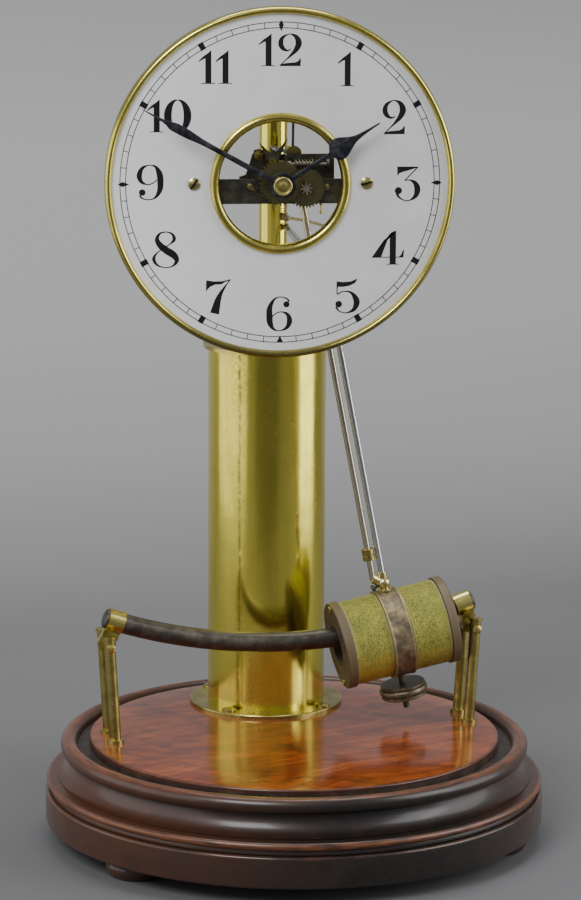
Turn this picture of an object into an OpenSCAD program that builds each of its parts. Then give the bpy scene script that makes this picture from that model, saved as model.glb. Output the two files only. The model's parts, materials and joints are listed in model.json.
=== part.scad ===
// Electric pendulum clock: battery column on a turned wooden base, fixed curved bar magnet,
// swinging coil on a pendulum, and a silvered dial with its movement seen through the middle.
// Origin at the centre of the base on the table, +Z up, dial towards -Y. Millimetres.

/* [Wooden base] */
// Width of the base across its plinth
base_d = 210; // [206:1:240]
// Height of the bun feet
foot_h = 8; // [6:0.5:12]
// Widest radius of a bun foot
foot_r = 13; // [10:0.5:15]
// Distance of the feet from the middle
foot_circle_r = 88; // [80:1:90]
// Height of the lower wooden plinth
plinth_h = 13.4; // [11:0.1:18]
// Height of the turned moulding above the plinth
moulding_h = 22; // [20:0.1:28]
// Depth of the quirk cut between plinth and moulding
quirk_depth = 1.8; // [1:0.1:3]
// Height of the quirk
quirk_h = 1.9; // [1:0.1:3]
// Radius of the lower bead
bead_r = 1.75; // [1.2:0.05:2.2]
// Radius of the polished disc inside the dome groove
disc_r = 86.2; // [85.5:0.1:87]
// Width of the groove that takes the glass dome
groove_w = 5.3; // [4:0.1:7]
// Depth of the groove below the disc
groove_depth = 4.5; // [3:0.1:6]
// Radius of the rounded rim outside the groove
rim_r = 3.5; // [2.5:0.1:3.6]

/* [Battery column] */
// Distance of the column's axis behind the middle of the base
column_y = 53; // [52.8:0.1:54]
// Outer radius of the column
column_r = 25.3; // [23:0.1:25.5]
// Wall of the column
column_wall = 1.2; // [0.8:0.1:2]
// Height of the column tube
column_h = 155; // [150:1:160]
// Radius of the column's foot flange
flange_r = 33.2; // [32:0.1:33.4]
// Thickness of the foot flange
flange_t = 1.6; // [1.2:0.1:2.4]
// Radius of the battery
battery_r = 20; // [15:0.5:21]
// Height of the battery's can
battery_h = 96; // [60:1:100]
// Thickness of the lid
lid_t = 1.6; // [1:0.1:2.5]
// How far the lid stands out past the column
lid_over = 2.2; // [1:0.1:4]

/* [Upper column and suspension] */
// Distance of the upper column's axis behind the middle of the base
upper_column_y = 43.3; // [42:0.1:44]
// Radius of the upper column
upper_column_r = 5.95; // [5.5:0.05:6.5]
// Bore of the upper column
upper_bore_r = 4.3; // [3.5:0.1:4.6]
// Height of the upper column's top above the table
upper_column_top = 328; // [326:1:332]
// Distance in front of the middle of the base of the plane that the pendulum swings in, with its sign
swing_y = 7.8; // [7.4:0.1:8]
// Height of the pendulum's pivot above the table
pivot_z = 310; // [309:0.5:311]
// Radius of the suspension pin
pin_r = 0.8; // [0.6:0.05:1]

/* [Magnet] */
// Distance of the magnet's middle line below the pivot, which it curves round
magnet_radius = 229.2; // [228:0.1:230]
// Radius of the round bar
bar_r = 4.2; // [3.5:0.1:4.4]
// Half the angle that the bar spans
bar_half_angle = 20.2; // [20.1:0.1:21]
// Angle of the clamps either side of the middle
clamp_angle = 19.2; // [18.6:0.1:19.4]
// Width of a clamp band
clamp_w = 7; // [5:0.1:8]
// Wall of a clamp band
clamp_wall = 0.6; // [0.5:0.1:0.7]
// Distance of the posts' feet from the middle
post_foot_x = 76.7; // [75:0.1:78]
// Distance of the cross screws from the middle
post_top_x = 79; // [77.5:0.1:80]
// Height of the cross screws above the table
cross_screw_z = 84.3; // [82.5:0.1:85]
// Spacing of the two posts at one end
post_spacing = 16; // [15:0.5:17]
// Radius of a post
post_r = 2.35; // [2:0.05:2.5]

/* [Pendulum] */
// Angle to the right at which the pendulum is drawn, as in the photograph
swing_rest = 11.15; // [9:0.05:11.7]
// Distance of the coil's axis below the pivot
coil_radius = 232; // [231.8:0.1:232.2]
// Radius of the coil's cheeks
cheek_r = 18.7; // [17:0.1:19]
// Thickness of a cheek
cheek_t = 3.8; // [2.5:0.1:4]
// Length of the coil over its cheeks
coil_l = 50; // [44:0.5:50]
// Radius of the hole through the coil
coil_bore_r = 8.8; // [8.7:0.1:9.4]
// Width of the strap round the coil
strap_w = 9.3; // [7:0.1:10]
// Radius of the silk-covered core under the outer turns
core_r = 17.1; // [15:0.1:17.4]
// Turns in the outer layer of each winding
winding_turns = 10; // [6:1:12]
// Radius of the drawn winding wire
winding_wire_r = 0.45; // [0.2:0.05:0.5]
// Distance between the two pendulum rods
rod_gap = 4.3; // [4.1:0.1:4.5]
// Radius of the right rod
right_rod_r = 1.35; // [1:0.05:1.5]
// Radius of the left rod
left_rod_r = 1.3; // [1:0.05:1.4]
// Distance of the rods' cross clamp below the pivot
cross_clamp_r = 84; // [80:1:90]
// Radius of the rating nut
rating_nut_r = 10.3; // [8:0.05:11]
// Thickness of the rating nut
rating_nut_t = 5.8; // [5.4:0.1:6.4]

/* [Dial and hands] */
// Height of the dial's centre above the table
dial_z = 277.5; // [277:0.1:278]
// Distance of the dial's face in front of the upper column's axis
dial_reach = 56; // [55.8:0.1:57]
// Distance of the dial's centre to the side of the upper column, with its sign
dial_side = -2.4; // [-2.6:0.1:-2.2]
// Angle that the dial and movement are turned about the upper column
dial_turn = -7.7; // [-8:0.1:-7.4]
// Outer radius of the bezel
bezel_r = 71.5; // [70:0.1:76]
// Width of the bezel seen from the front
bezel_w = 3; // [2:0.1:4]
// Depth of the bezel behind its lip
bezel_depth = 3.2; // [2:0.1:5]
// Thickness of the dial plate
dial_t = 1; // [0.8:0.1:1.4]
// Outer radius of the ring round the dial's opening
ring_r = 28.8; // [28:0.1:31]
// Width of that ring
ring_w = 3.8; // [3:0.1:4.2]
// Distance of the dial screws from the dial's centre
dial_screw_x = 35.2; // [33:0.1:36]
// Length of the minute hand
minute_hand_l = 64.6; // [60:0.1:66]
// Length of the hour hand
hour_hand_l = 46.7; // [42:0.1:50]
// Angle of the minute hand past twelve at rest
minute_angle = -61.2; // [-90:0.1:90]
// Angle of the hour hand past twelve at rest
hour_angle = 57.8; // [0:0.1:90]

/* [Movement] */
// Place of the minute wheel's axis to the right of the centre
minute_x = 10.5; // [10.3:0.1:10.7]
// Height of the minute wheel's axis against the centre, with its sign
minute_z = -2.1; // [-2.3:0.1:-1.9]
// Distance of the worm shaft above the minute wheel's axis
worm_rise = 8.6; // [8.4:0.05:8.8]
// Thickness of the movement's plates
plate_t = 1.4; // [1:0.1:1.6]
// Gap between the dial plate and the front plate
dial_gap = 2.6; // [2.4:0.1:3]
// Gap between the movement's plates
plate_gap = 10.2; // [10:0.1:10.4]
// Teeth of the hour wheel and of the centre wheel
hour_teeth = 32; // [32:1:32]
// Leaves of the pinions that drive them
leaf_count = 8; // [8:1:8]
// Teeth of the minute wheel
minute_teeth = 36; // [36:1:36]
// Leaves of the cannon pinion
cannon_leaves = 12; // [12:1:12]
// Teeth of the worm wheel and of the ratchet wheel
worm_wheel_teeth = 30; // [30:1:30]
// Radius of the ratchet wheel
ratchet_r = 3.8; // [3.4:0.1:3.9]

/* [Clearances] */
// Radial clearance of an arbor in its hole
running_gap = 0.05; // [0.03:0.01:0.09]
// Radial clearance of pieces that are pushed together
fit_gap = 0.02; // [0.01:0.01:0.05]

/* [Hidden] */
$fn = 64;

// Heights on the base
base_r = base_d / 2;
plinth_top = foot_h + plinth_h;
disc_z = plinth_top + moulding_h;
groove_r = disc_r + groove_w;
groove_z = disc_z - groove_depth;
rim_x = groove_r + rim_r;
rim_z = disc_z - rim_r - 0.4;
bead_x = base_r - 0.5 - bead_r;
bead_z = plinth_top + quirk_h + bead_r;
cove_x = rim_x + rim_r + 1.6;
cove_bottom = bead_z + bead_r + 0.6;
cove_top = rim_z - rim_r + 0.1;
foot_angles = [-150, -30, 90];
base_screw_r = 58;
base_screw_angles = [30, 150, 270];

// The battery column
tube_z = disc_z + flange_t;
column_in_r = column_r - column_wall;
column_top = tube_z + column_h;
lid_top = column_top + lid_t;
flange_screw_r = (column_r + flange_r) / 2;
flange_screw_angles = [-136, -46, 44, 134];
spigot_h = 6;
battery_z = tube_z + spigot_h;
battery_top = battery_z + battery_h;

// The lead's route, chosen by hand from the battery to the movement
lead_r = 0.65;
bushing_turn = 30;
lead_out = 7.07;
lead_exit = [lead_out * sin(bushing_turn), upper_column_y - lead_out * cos(bushing_turn), 257.2];
lead_route = [[0, 47.5, battery_top + 1.6], [0, 46.8, 155.6], [0, 44.8, 159.5], [0, 43.4, 165],
    [0, 43.3, 176], [0, 43.3, 196], [0, 43.3, 216], [0, 43.3, 236], [0, 43.3, 248],
    [0.2, 43, 252.4], [0.85, 41.8, 255.6], [1.9, 40, 257], lead_exit, [5, 34.6, 257.3],
    [7, 30.6, 257.3], [9.2, 26.8, 257.2], [11.5, 22.8, 256.9], [14.2, 18.4, 256.4],
    [16.6, 14, 256], [18.4, 9.8, 255.8], [19.9, 6, 256.2], [20.9, 1.8, 257.6],
    [21.1, -2.2, 260.4], [20.6, -5.4, 264.6], [19.8, -7.5, 269], [19.1, -8.9, 272],
    [18.55, -10.2, 273.5], [18.4, -10.75, 273.6]];

// The head: pieces from the bracket to the hands are drawn round the dial's centre,
// x to the right, y to the back from the dial's face, z up
front_y = dial_t + dial_gap;
front_back_y = front_y + plate_t;
back_y = front_back_y + plate_gap;
back_back_y = back_y + plate_t - 0.2;
worm_y = front_back_y + 5.6;
worm_z = minute_z + worm_rise;
centre_distance = norm([minute_x, minute_z]);
centre_line = atan2(minute_z, minute_x);
minute_module = 2 * centre_distance / (cannon_leaves + minute_teeth);
hour_module = 2 * centre_distance / (leaf_count + hour_teeth);
worm_r = 1.9;
worm_wheel_r = worm_rise - worm_r;
worm_pitch = 2 * PI * worm_wheel_r / worm_wheel_teeth;
centre_r = 1;
cannon_r = 1.75;
pipe_r = 2.8;
drive_r = 0.8;
shaft_r = 0.9;
fork_x = -2;
fork_z = 7.5;
fork_stud_r = 0.9;
pillar_places = [[-11.9, -1.8], [minute_x + 8.9, -1.9]];
pillar_r = [2, 1.5];
cock_screw_place = [-7.4, 10];
dial_screw_r = 1.3;
opening_r = ring_r - ring_w + 1.2;
minute_hand_y = -9.3;
hour_hand_y = -6.4;
hub_r = 5.3;

// The pendulum, drawn hanging straight down from the pivot at the origin
rod_top = 22;
coil_z = -coil_radius;
strap_r = cheek_r + 0.15;
ball_r = 3;
ball_z = coil_z + strap_r + ball_r + 0.45;
barrel_z = ball_z + 13.7;
nut_z = coil_z - 25.6;
stem_r = 1.3;
stem_end = nut_z - 8.2;
contact_x = -12.69;
contact_z = -17.96;

// The side hole of the upper column, and the wires that start there
bushing_r = 1.1;
pigtail_out = 7.5;
pigtail_base = [pigtail_out * sin(bushing_turn), upper_column_y - pigtail_out * cos(bushing_turn),
    lead_exit[2] + 2];
spring_hold = 66;
spring_r = 1.1;
spring_cap_r = 1.5;
spring_cap_t = 1.4;
spring_start = [4.6, 36.6, 252.9];
spring_target = rod_point(spring_hold) + [0, 3, 0];
spring_run = spring_target - spring_start;
spring_stud = spring_start - unit(spring_run) * spring_cap_t / 2;
stud_r = 0.9;
stud_turn = 90 + atan2(spring_stud[1] - upper_column_y, spring_stud[0]);

function arc(cx, cy, rx, ry, a0, a1, n) =
    [for (i = [0:n]) let (a = a0 + (a1 - a0) * i / n) [cx + rx * cos(a), cy + ry * sin(a)]];
function unit(v) = v / norm(v);
function along(p, i) =
    unit(p[min(i + 1, len(p) - 1)] - p[max(i - 1, 0)]);

// A closed tube through points, with side vectors that are never along the route
module tube(points, sides_out, r, sides) {
    n = len(points);
    rings = [for (i = [0:n - 1])
        let (t = along(points, i), u = unit(sides_out[i] - (sides_out[i] * t) * t), v = cross(t, u))
        for (k = [0:sides - 1]) points[i] + r * (cos(360 * k / sides) * u + sin(360 * k / sides) * v)];
    walls = [for (i = [0:n - 2], k = [0:sides - 1])
        let (a = i * sides + k, b = i * sides + (k + 1) % sides)
        for (f = [[a, a + sides, b], [b, a + sides, b + sides]]) f];
    first = [for (k = [1:sides - 2]) [0, k, k + 1]];
    base = (n - 1) * sides;
    last = [for (k = [1:sides - 2]) [base, base + k + 1, base + k]];
    polyhedron(rings, concat(walls, first, last));
}

// Points of a helix about Z with a short straight run at each end, and their outward vectors
function helix(r, length, turns, per_turn, straight) = concat([[r, 0, 0]],
    [for (i = [0:turns * per_turn]) let (a = 360 * i / per_turn)
        [r * cos(a), r * sin(a), straight + (length - 2 * straight) * i / (turns * per_turn)]],
    [[r, 0, length]]);
// Point on the left rod's axis at a distance below the pivot
function rod_point(d) = [d * sin(swing_rest) - rod_gap * cos(swing_rest), swing_y,
    pivot_z - d * cos(swing_rest) - rod_gap * sin(swing_rest)];
function outward(points) = [for (p = points) [p[0], p[1], 0]];
function least_gap(points, per_turn, wire_r) =
    min([for (i = [0:len(points) - 1], j = [i + ceil(per_turn * 0.6):1:len(points) - 1])
        norm(points[i] - points[j])]) - 2 * wire_r;

module helix_wire(name, r, length, turns, per_turn, wire_r) {
    points = helix(r, length, turns, per_turn, 2 * wire_r);
    echo(str("least gap of ", name, ": ", least_gap(points, per_turn, wire_r), " mm"));
    tube(points, outward(points), wire_r, 6);
}

// A round piece between two depths of the head, and a flat one cut to an outline
module round_y(y0, y1, r, x = 0, z = 0) {
    translate([x, y1, z]) rotate([90, 0, 0]) cylinder(r = r, h = y1 - y0);
}
module flat_y(y0, y1) {
    translate([0, y1, 0]) rotate([90, 0, 0]) linear_extrude(y1 - y0) children();
}
module turned_y() {
    rotate([90, 0, 0]) rotate_extrude() children();
}

module place_head() {
    translate([0, upper_column_y, 0]) rotate([0, 0, dial_turn])
        translate([dial_side, -dial_reach, dial_z]) children();
}
module place_pendulum() {
    translate([0, swing_y, pivot_z]) rotate([0, -swing_rest, 0]) children();
}
module at_column() {
    translate([0, column_y, 0]) children();
}
module at_upper_column() {
    translate([0, upper_column_y, 0]) children();
}

// A screw with its head's underside at z = 0 and its shank down
module screw(head_r, head_h, shank_r, shank_l) {
    difference() {
        union() {
            intersection() {
                cylinder(r = head_r, h = head_h);
                translate([0, 0, head_h - 2.2 * head_r]) sphere(r = 2.2 * head_r);
            }
            translate([0, 0, -shank_l]) cylinder(r = shank_r, h = shank_l);
        }
        translate([-head_r, -head_r * 0.13, head_h * 0.5]) cube([2 * head_r, head_r * 0.26, head_h]);
    }
}

// Toothed wheel outline with a tooth centred on angle 0
module wheel_outline(teeth, tooth_module, addendum, dedendum, width) {
    r = teeth * tooth_module / 2;
    ro = r + addendum * tooth_module;
    ri = r - dedendum * tooth_module;
    half = 180 / teeth * width;
    polygon([for (i = [0:teeth - 1]) let (c = 360 * i / teeth)
        for (p = [[ri, -half * 1.35], [r, -half], [ro, -half * 0.45], [ro, half * 0.45], [r, half],
            [ri, half * 1.35]])
            p[0] * [cos(c + p[1]), sin(c + p[1])]]);
}

// Wooden base

module bun_feet() {
    color("#2b1a14") for (a = foot_angles) rotate(a) translate([foot_circle_r, 0, 0])
        difference() {
            rotate_extrude() polygon(concat([[0, 0]],
                arc(foot_r - foot_h / 2, foot_h / 2, foot_h / 2, foot_h / 2, -90, 90, 16),
                [[0, foot_h]]));
            translate([0, 0, -1]) cylinder(r = foot_screw_r + fit_gap, h = foot_h + 2);
            translate([0, 0, -1]) cylinder(r = foot_head_r + fit_gap, h = 1 + foot_head_z);
        }
}
foot_screw_r = 2;
foot_head_r = 4;
foot_head_z = 3.5;
foot_screw_l = 14;

module foot_screws() {
    color("#8c7a4a") for (a = foot_angles) rotate(a) translate([foot_circle_r, 0, foot_head_z])
        mirror([0, 0, 1]) screw(foot_head_r, 1.8, foot_screw_r, foot_screw_l);
}

module base_plinth() {
    edge = 1;
    color("#3a1d16") difference() {
        rotate_extrude() polygon(concat([[0, foot_h]],
            arc(base_r - edge, foot_h + edge, edge, edge, -90, 0, 5),
            arc(base_r - edge, plinth_top - edge, edge, edge, 0, 90, 5),
            [[0, plinth_top]]));
        for (a = foot_angles) rotate(a) translate([foot_circle_r, 0, foot_h - 1])
            cylinder(r = foot_screw_r + fit_gap, h = 1 + foot_head_z + foot_screw_l - foot_h + fit_gap);
        for (a = base_screw_angles) rotate(a) translate([base_screw_r, 0, 0]) {
            cylinder(r = base_screw_shank + fit_gap, h = plinth_top + 1);
            cylinder(r = base_screw_head + fit_gap, h = base_screw_z);
        }
    }
}
base_screw_shank = 2;
base_screw_head = 4.2;
base_screw_z = foot_h + 3.4;
base_screw_l = 22;

module base_screws() {
    color("#8c7a4a") for (a = base_screw_angles) rotate(a) translate([base_screw_r, 0, base_screw_z])
        mirror([0, 0, 1]) screw(base_screw_head, 2.2, base_screw_shank, base_screw_l);
}

module base_moulding() {
    edge = 0.8;
    color("#8e3f1f") difference() {
        rotate_extrude() polygon(concat(
            [[0, plinth_top], [base_r - quirk_depth, plinth_top], [base_r - quirk_depth, bead_z - bead_r]],
            arc(bead_x, bead_z, bead_r, bead_r, -90, 90, 12),
            [[cove_x, bead_z + bead_r]],
            arc(cove_x, cove_top, cove_x - rim_x + 2.2, cove_top - cove_bottom, 270, 180, 14),
            arc(rim_x, rim_z, rim_r, rim_r, -90, 180, 24),
            [[groove_r, groove_z], [disc_r, groove_z]],
            arc(disc_r - edge, disc_z - edge, edge, edge, 0, 90, 5),
            [[0, disc_z]]));
        for (a = base_screw_angles) rotate(a) translate([base_screw_r, 0, plinth_top - 1])
            cylinder(r = base_screw_shank + fit_gap, h = base_screw_z + base_screw_l - plinth_top + 1 + fit_gap);
        at_column() for (a = flange_screw_angles) rotate(a)
            translate([flange_screw_r, 0, disc_z - flange_screw_l + flange_t - fit_gap])
                cylinder(r = flange_screw_shank + fit_gap, h = flange_screw_l + 1);
        for (sx = [-1, 1], sy = [-0.5, 0.5])
            translate([sx * post_foot_x, swing_y + sy * post_spacing, disc_z - post_stud_l - fit_gap])
                cylinder(r = post_stud_r + fit_gap, h = post_stud_l + 1);
    }
}
post_stud_r = 1.5;
post_stud_l = 9;

// Battery column

flange_screw_shank = 1.4;
flange_screw_l = 12;

module column_flange() {
    edge = 0.5;
    color("#b8963c") at_column() difference() {
        rotate_extrude() polygon(concat([[0, disc_z], [flange_r, disc_z]],
            arc(flange_r - edge, tube_z - edge, edge, edge, 0, 90, 4),
            [[column_in_r - fit_gap, tube_z], [column_in_r - fit_gap, battery_z], [0, battery_z]]));
        for (a = flange_screw_angles) rotate(a) translate([flange_screw_r, 0, disc_z - 1])
            cylinder(r = flange_screw_shank + fit_gap, h = flange_t + 2);
    }
}

module flange_screws() {
    color("#c9a94e") at_column() for (a = flange_screw_angles) rotate(a)
        translate([flange_screw_r, 0, tube_z]) rotate(a * 2 + 25)
            screw(3, 1.5, flange_screw_shank, flange_screw_l);
}

module column_tube() {
    color("#c8a63f") at_column() translate([0, 0, tube_z]) difference() {
        cylinder(r = column_r, h = column_h);
        translate([0, 0, -1]) cylinder(r = column_in_r, h = column_h + 2);
    }
}

module column_lid() {
    skirt_h = 4;
    skirt_wall = 1;
    color("#b8963c") difference() {
        union() {
            at_column() translate([0, 0, column_top]) cylinder(r = column_r + lid_over, h = lid_t);
            at_column() translate([0, 0, column_top - skirt_h])
                cylinder(r = column_in_r - fit_gap, h = skirt_h + lid_t / 2);
        }
        at_column() translate([0, 0, column_top - skirt_h - 1])
            cylinder(r = column_in_r - skirt_wall, h = skirt_h + 1);
        at_upper_column() translate([0, 0, column_top - 1]) cylinder(r = 2, h = lid_t + 2);
    }
}

module battery_cell() {
    cap_h = 1.6;
    color("#55606a") at_column() {
        translate([0, 0, battery_z]) cylinder(r = battery_r, h = battery_h);
        translate([0, lead_route[0][1] - column_y, battery_top - 1]) cylinder(r = 2.4, h = cap_h + 1);
    }
}

// Upper column and suspension

module upper_column() {
    color("#cfae45") difference() {
        at_upper_column() translate([0, 0, lid_top]) cylinder(r = upper_column_r, h = upper_column_top - lid_top);
        at_upper_column() translate([0, 0, lid_top - 1])
            cylinder(r = upper_bore_r, h = upper_column_top - lid_top + 2);
        at_bushing() translate([0, 0, -4]) cylinder(r = bushing_r + fit_gap, h = 16);
        translate([0, upper_column_y, spring_stud[2]]) rotate([90, 0, stud_turn]) cylinder(r = stud_r + fit_gap, h = 12);
    }
}

// The side hole of the upper column, looking out along its axis
module at_bushing() {
    translate([0, upper_column_y, lead_exit[2]]) rotate([90, 0, bushing_turn]) children();
}

// Foot ring, domed cap, and the stud that the contact spring starts from
module upper_column_fittings() {
    color("#b8963c") {
        at_upper_column() translate([0, 0, lid_top]) difference() {
            union() {
                cylinder(r = upper_column_r + 4.5, h = 2);
                cylinder(r = upper_column_r + 2, h = 6);
            }
            translate([0, 0, -1]) cylinder(r = upper_column_r + fit_gap, h = 8);
        }
        at_upper_column() translate([0, 0, upper_column_top]) rotate_extrude()
            polygon(concat([[0, 0]], arc(upper_column_r - 0.2, 1.2, 1.2, 1.2, -90, 90, 8),
                arc(0, 2.4, 4, 3.4, 0, 90, 10)));
        translate([0, upper_column_y, spring_stud[2]]) rotate([90, 0, stud_turn]) translate([0, 0, upper_bore_r])
            cylinder(r = stud_r, h = norm([spring_stud[0], spring_stud[1] - upper_column_y]) - upper_bore_r);
        at_spring() translate([0, 0, -spring_cap_t]) cylinder(r = spring_cap_r, h = spring_cap_t);
    }
}

// Insulating bushing of the lead, with the pad that the pigtail coil stands on
module lead_bushing() {
    color("#3a2c22") difference() {
        union() {
            at_bushing() translate([0, 0, upper_bore_r]) cylinder(r = bushing_r, h = 3);
            at_bushing() translate([0, 0, upper_column_r + 0.1])
                cylinder(r = bushing_r + 0.2, h = 2 * pigtail_out - 2 * upper_column_r);
            translate(pigtail_base) translate([0, 0, lead_exit[2] - pigtail_base[2]])
                cylinder(r = 1.15, h = pigtail_base[2] - lead_exit[2]);
        }
        at_bushing() cylinder(r = lead_r + 0.3, h = 16);
    }
}

module braided_lead() {
    side = [for (p = lead_route) [1, 1, 0]];
    color("#d8c878") tube(lead_route, side, lead_r, 8);
}

// Coiled wire beside the upper column, from the bushing up to the movement's bracket
module pigtail_coil() {
    color("#4a443c") translate(pigtail_base)
        helix_wire("the pigtail coil", 0.8, dial_z + bracket_z - pigtail_base[2], 8, 8, 0.15);
}

// Soft helical wire from the column to the pendulum's left rod
module contact_spring() {
    color("#8a8a86") at_spring()
        helix_wire("the contact spring", spring_r, norm(spring_run), 24, 8, 0.2);
}
module at_spring() {
    translate(spring_start)
        rotate([0, acos(spring_run[2] / norm(spring_run)), atan2(spring_run[1], spring_run[0])]) children();
}

module suspension_cock() {
    arm_z = pivot_z + 6;
    arm_t = 5;
    cheek_gap = 2.6;
    cheek_y = [swing_y - cheek_gap / 2 - 1.8, swing_y + cheek_gap / 2];
    color("#8f7a3a") difference() {
        union() {
            at_upper_column() translate([0, 0, arm_z]) cylinder(r = upper_column_r + 3, h = arm_t);
            translate([-3.5, cheek_y[0], arm_z])
                cube([7, upper_column_y - upper_column_r - cheek_y[0], arm_t]);
            for (y = cheek_y) {
                translate([-3.5, y, pivot_z]) cube([7, 1.8, arm_z - pivot_z + 1]);
                round_y(y, y + 1.8, 3.5, 0, pivot_z);
            }
        }
        at_upper_column() translate([0, 0, arm_z - 1]) cylinder(r = upper_column_r + fit_gap, h = arm_t + 2);
        round_y(cheek_y[0] - 1, cheek_y[1] + 3, pin_r + fit_gap, 0, pivot_z);
    }
}

module suspension_pin() {
    color("#7d7f82") {
        round_y(swing_y - 3.6, swing_y + 3.6, pin_r, 0, pivot_z);
        round_y(swing_y - 4.2, swing_y - 3.3, 1.5, 0, pivot_z);
    }
}

// Magnet

module magnet_bar() {
    dome = 1.3;
    step = 0.15;
    color("#33302d") translate([0, swing_y, pivot_z]) {
        rotate([90, 0, 0]) rotate([0, 0, -90 - bar_half_angle]) rotate_extrude(angle = 2 * bar_half_angle)
            translate([magnet_radius, 0]) circle(r = bar_r);
        for (side = [-1, 1]) rotate([0, -side * bar_half_angle, 0]) translate([0, 0, -magnet_radius])
            rotate([0, side * 90, 0]) rotate_extrude() polygon(concat([[0, -0.5], [bar_r - step, -0.5]],
                arc(0, 0, bar_r - step, dome, 0, 90, 6)));
    }
}

module at_clamp(side) {
    translate([0, swing_y, pivot_z]) rotate([0, -side * clamp_angle, 0])
        translate([0, 0, -magnet_radius]) children();
}
eye_r = 3.8;
eye_t = 3.2;

module magnet_clamps() {
    color("#b08f3c") for (side = [-1, 1]) difference() {
        union() {
            at_clamp(side) rotate([0, 90, 0]) translate([0, 0, -clamp_w / 2])
                cylinder(r = bar_r + fit_gap + clamp_wall, h = clamp_w);
            at_clamp(side) translate([-clamp_w / 2, -eye_t / 2, -bar_r - clamp_wall - 3])
                cube([clamp_w, eye_t, 4]);
            round_y(swing_y - eye_t / 2, swing_y + eye_t / 2, eye_r, side * post_top_x, cross_screw_z);
        }
        at_clamp(side) rotate([0, 90, 0]) translate([0, 0, -clamp_w])
            cylinder(r = bar_r + fit_gap, h = 2 * clamp_w);
        round_y(swing_y - eye_t, swing_y + eye_t, cross_screw_r + fit_gap, side * post_top_x, cross_screw_z);
    }
}
cross_screw_r = 1.3;

module magnet_posts() {
    foot_top = disc_z + 1.4;
    lean = atan2(post_top_x - post_foot_x, cross_screw_z - foot_top);
    post_l = (cross_screw_z + 4.6 - foot_top) / cos(lean);
    color("#a98a3a") for (side = [-1, 1], back = [-1, 1]) {
        y = swing_y + back * post_spacing / 2;
        flat = [y + back * (post_r - post_flat), y + back * (post_r + 1)];
        difference() {
            union() {
                translate([side * post_foot_x, y, disc_z]) {
                    cylinder(r = post_r + 1.1, h = foot_top - disc_z);
                    translate([0, 0, -post_stud_l]) cylinder(r = post_stud_r, h = post_stud_l);
                }
                translate([side * post_foot_x, y, foot_top]) rotate([0, side * lean, 0]) {
                    translate([0, 0, -0.5]) cylinder(r = post_r, h = post_l + 0.5);
                    translate([0, 0, post_l - 1]) cylinder(r = post_r + 0.5, h = 0.8);
                }
            }
            round_y(y - 2 * post_r, y + 2 * post_r, cross_screw_r + fit_gap, side * post_top_x, cross_screw_z);
            round_y(min(flat), max(flat), cross_head_r + 0.2, side * post_top_x, cross_screw_z);
        }
    }
}
// Depth of the flats that the cross screws bear on
post_flat = 0.35;
cross_head_r = 1.9;

module cross_screws() {
    reach = post_spacing / 2 + post_r - post_flat;
    color("#a98a3a") for (side = [-1, 1]) translate([side * post_top_x, swing_y - reach, cross_screw_z])
        rotate([90, side * 35 + 20, 0]) screw(cross_head_r, 1.7, cross_screw_r, 2 * reach + 1);
}

module post_spacers() {
    inner = eye_t / 2;
    outer = post_spacing / 2 - post_r - fit_gap;
    color("#a98a3a") for (side = [-1, 1], back = [-1, 1]) difference() {
        round_y(swing_y + min(back * inner, back * outer), swing_y + max(back * inner, back * outer),
            2.2, side * post_top_x, cross_screw_z);
        round_y(swing_y - post_spacing / 2, swing_y + post_spacing / 2, cross_screw_r + fit_gap,
            side * post_top_x, cross_screw_z);
    }
}

// Pendulum, body pieces

// A round rod from one point to another in the swing plane
module rod_between(a, b, r) {
    d = b - a;
    translate([a[0], 0, a[1]]) rotate([0, atan2(d[0], d[1]), 0]) cylinder(r = r, h = norm(d));
}

module pendulum_hook() {
    color("#4c4a48") place_pendulum() difference() {
        union() {
            round_y(-0.9, 0.9, 2.1, 0, 0);
            rod_between([-0.2, -1.7], [-rod_gap + 0.45, -rod_top + block_r - 0.3], 0.55);
        }
        round_y(-2, 2, pin_r + running_gap, 0, 0);
        round_y(-3, 3, block_r, -rod_gap, -rod_top);
    }
}
block_r = 3.2;
block_front = 1.6;

module pendulum_block() {
    color("#8f7636") place_pendulum() difference() {
        round_y(-block_front, 2.8, block_r, -rod_gap, -rod_top);
        translate([-rod_gap, 0, -rod_top - block_r - 1]) cylinder(r = left_rod_r + fit_gap, h = 3);
    }
}

module contact_pin() {
    arm_y = 0.45;
    color("#c9c6bd") place_pendulum() {
        difference() {
            flat_y(-arm_y, arm_y) union() {
                polygon([[contact_x - 0.3, contact_z - 0.7], [contact_x + 0.6, contact_z - 1.1],
                    [-rod_gap, -rod_top - 0.9], [-rod_gap, -rod_top + 0.9],
                    [contact_x + 0.4, contact_z + 0.9], [contact_x - 0.3, contact_z + 0.7]]);
                translate([contact_x, contact_z]) circle(r = 1);
            }
            round_y(-3, 3, block_r, -rod_gap, -rod_top);
        }
        round_y(-8.4, 0, 0.5, contact_x, contact_z);
    }
}

module left_rod() {
    color("#b9babd") place_pendulum()
        rod_between([-rod_gap, -rod_top - block_r + 2], [-rod_gap, ball_z + 2], left_rod_r);
}

module right_rod() {
    color("#b9babd") place_pendulum()
        rod_between([0, -cross_clamp_r + 3], [0, ball_z + 1], right_rod_r);
}

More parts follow.
